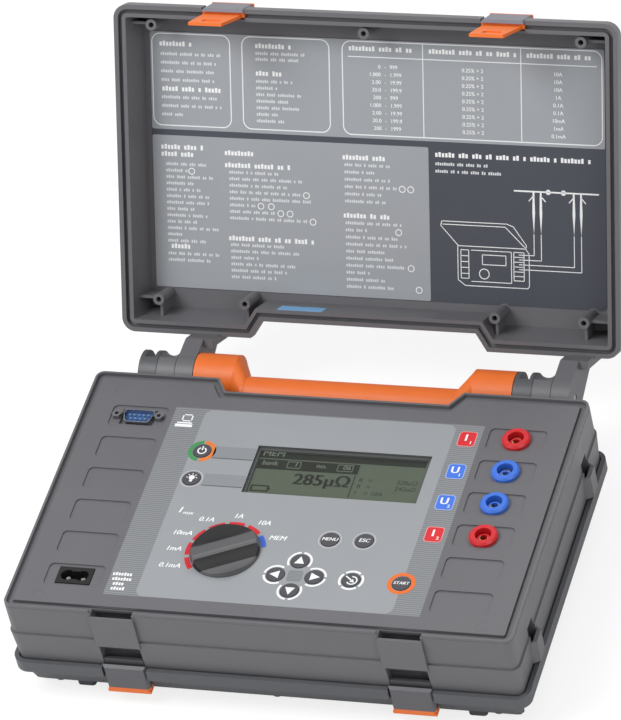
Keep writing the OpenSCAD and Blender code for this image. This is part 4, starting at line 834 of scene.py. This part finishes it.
RING_SIGNS = [(-110.6, 90.5), (-42.0, 79.6), (-69.4, 72.1), (-63.2, 72.1), (-57.6, 68.4), (-52.0, 68.4),
              (-38.4, 64.4), (12.5, 60.9), (15.0, 86.0), (20.0, 86.0), (19.5, 40.4), (24.0, 28.1)]
ring_signs = sum([full_ring(*spot, *RING_SIGN_R, 12) for spot in RING_SIGNS], [])
add_card_print("card_ring_signs", ring_signs, white_ink, PRINT_T)

# The table's rows: lowest and highest value of each range, its error and its current.
ROW_TOP = 155.6
ROW_PITCH = 4.4
ROW_TALL = 2.2
LOW_X, DASH_X, HIGH_X, ERROR_X, CURRENT_X = 3.6, 6.2, 8.8, 57.4, 107.0
lows = ["0", "1.000", "2.00", "20.0", "200", "1.000", "2.00", "20.0", "200"]
highs = ["999", "1.999", "19.99", "199.9", "999", "1.999", "19.99", "199.9", "1999"]
currents = ["10A", "10A", "10A", "1A", "0.1A", "0.1A", "10mA", "1mA", "0.1mA"]
table_words = []
for i, (low, high, current) in enumerate(zip(lows, highs, currents)):
    cells = [(low, LOW_X, "RIGHT"), ("-", DASH_X, "CENTER"), (high, HIGH_X, "LEFT"),
             ("0.25% + 2", ERROR_X, "CENTER"), (current, CURRENT_X, "CENTER")]
    table_words += [(text, x, ROW_TOP - ROW_PITCH * i, ROW_TALL, side) for text, x, side in cells]
add_words("card_table", table_words, white_ink, on_card, PRINT_T, body="upper_lid_body",
          bold=0.03)


def card_lines(paths, width):
    """Strokes along each run of points, one straight piece at a time."""
    return [stroke([a, b], width) for path in paths for a, b in zip(path, path[1:])]


# The drawing's lines: the meter's lid and case, its card, display and jacks, then the leads.
DRAWING_LINE = 0.45
SAMPLE_LINE = 0.9
HOOK_LINE = 0.6
SAMPLE_Y = 88.4
LEAD_TOP = 64.0
LEADS = [(92.0, 51.6, -1), (96.2, 48.8, 1), (115.4, 46.0, -1), (119.6, 43.2, 1)]
PROBE = [(-0.8, 76.0), (0.0, LEAD_TOP), (0.8, 76.0), (0.5, 88.0), (-0.5, 88.0)]
drawing = [[(38.0, 69.0), (76.0, 69.0), (80.0, 67.6), (87.6, 57.0), (87.0, 55.2), (47.6, 55.2), (37.4, 66.4),
            (38.0, 69.0)],
           [(38.4, 67.2), (75.2, 67.2), (86.6, 56.0)],
           [(47.2, 55.2), (47.2, 35.6), (51.4, 32.4), (88.0, 32.4), (89.0, 33.6), (89.0, 52.4), (87.0, 55.2)],
           [(49.0, 53.0), (53.6, 53.0), (53.6, 36.6), (49.0, 36.6), (49.0, 53.0)],
           [(61.6, 50.6), (75.4, 50.6), (75.4, 45.0), (61.6, 45.0), (61.6, 50.6)],
           [(55.0, 53.0), (78.6, 53.0), (78.6, 35.0), (55.0, 35.0)],
           [(80.0, 53.0), (86.0, 53.0), (86.0, 36.6), (80.0, 36.6), (80.0, 53.0)]]
drawing += [[(49.0, y), (53.6, y)] for y in (49.6, 46.2, 42.8, 39.4)]
drawing += [[(80.0, y), (86.0, y)] for y in (50.2, 47.4, 44.6, 41.8, 39.2)]
drawing += [[(83.0, y), (x, y), (x, LEAD_TOP)] for x, y, _ in LEADS]
lines = card_lines(drawing, DRAWING_LINE) + full_ring(62.6, 39.6, 2.6, 3.1, 16)
lines += card_lines([[(80.6, SAMPLE_Y), (130.0, SAMPLE_Y)]], SAMPLE_LINE)
lines += [disc(x, SAMPLE_Y, 1.5, 16) for x in (100.6, 109.4)]
for x, _, side in LEADS:
    lines += [[(x + out, y) for out, y in PROBE]]
    lines += card_lines([[(x, 86.0), (x + side * 2.8, 82.8)]], HOOK_LINE)
add_card_print("card_wiring_drawing", lines, white_ink, PRINT_T)


# Foil label
# A plain, self-adhesive label of light-blue foil, about 27 by 10 mm.
# It is stuck to the inside of the lid's lower wall, above the notch for the handle.
WALL_Y = 77.6
LABEL = (-54.6, 0.8, -27.8, 11.0)
LABEL_CORNER = 0.4


def on_lid_wall(points):
    """Wall x and height above the lid's rim, layers counted from the wall's inner face."""
    return open_lid(points[:, 0], WALL_Y - points[:, 2], LID_RIM_Z + points[:, 1])


# Foil is smoother than the moulded wall, so it looks brighter and picks up a soft highlight.
add_print("foil_label", [soft_box(*LABEL, LABEL_CORNER)], ink("light_blue_foil", "#78B2E2", rough=0.3),
          on_lid_wall, body="upper_lid_body")

low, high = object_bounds()
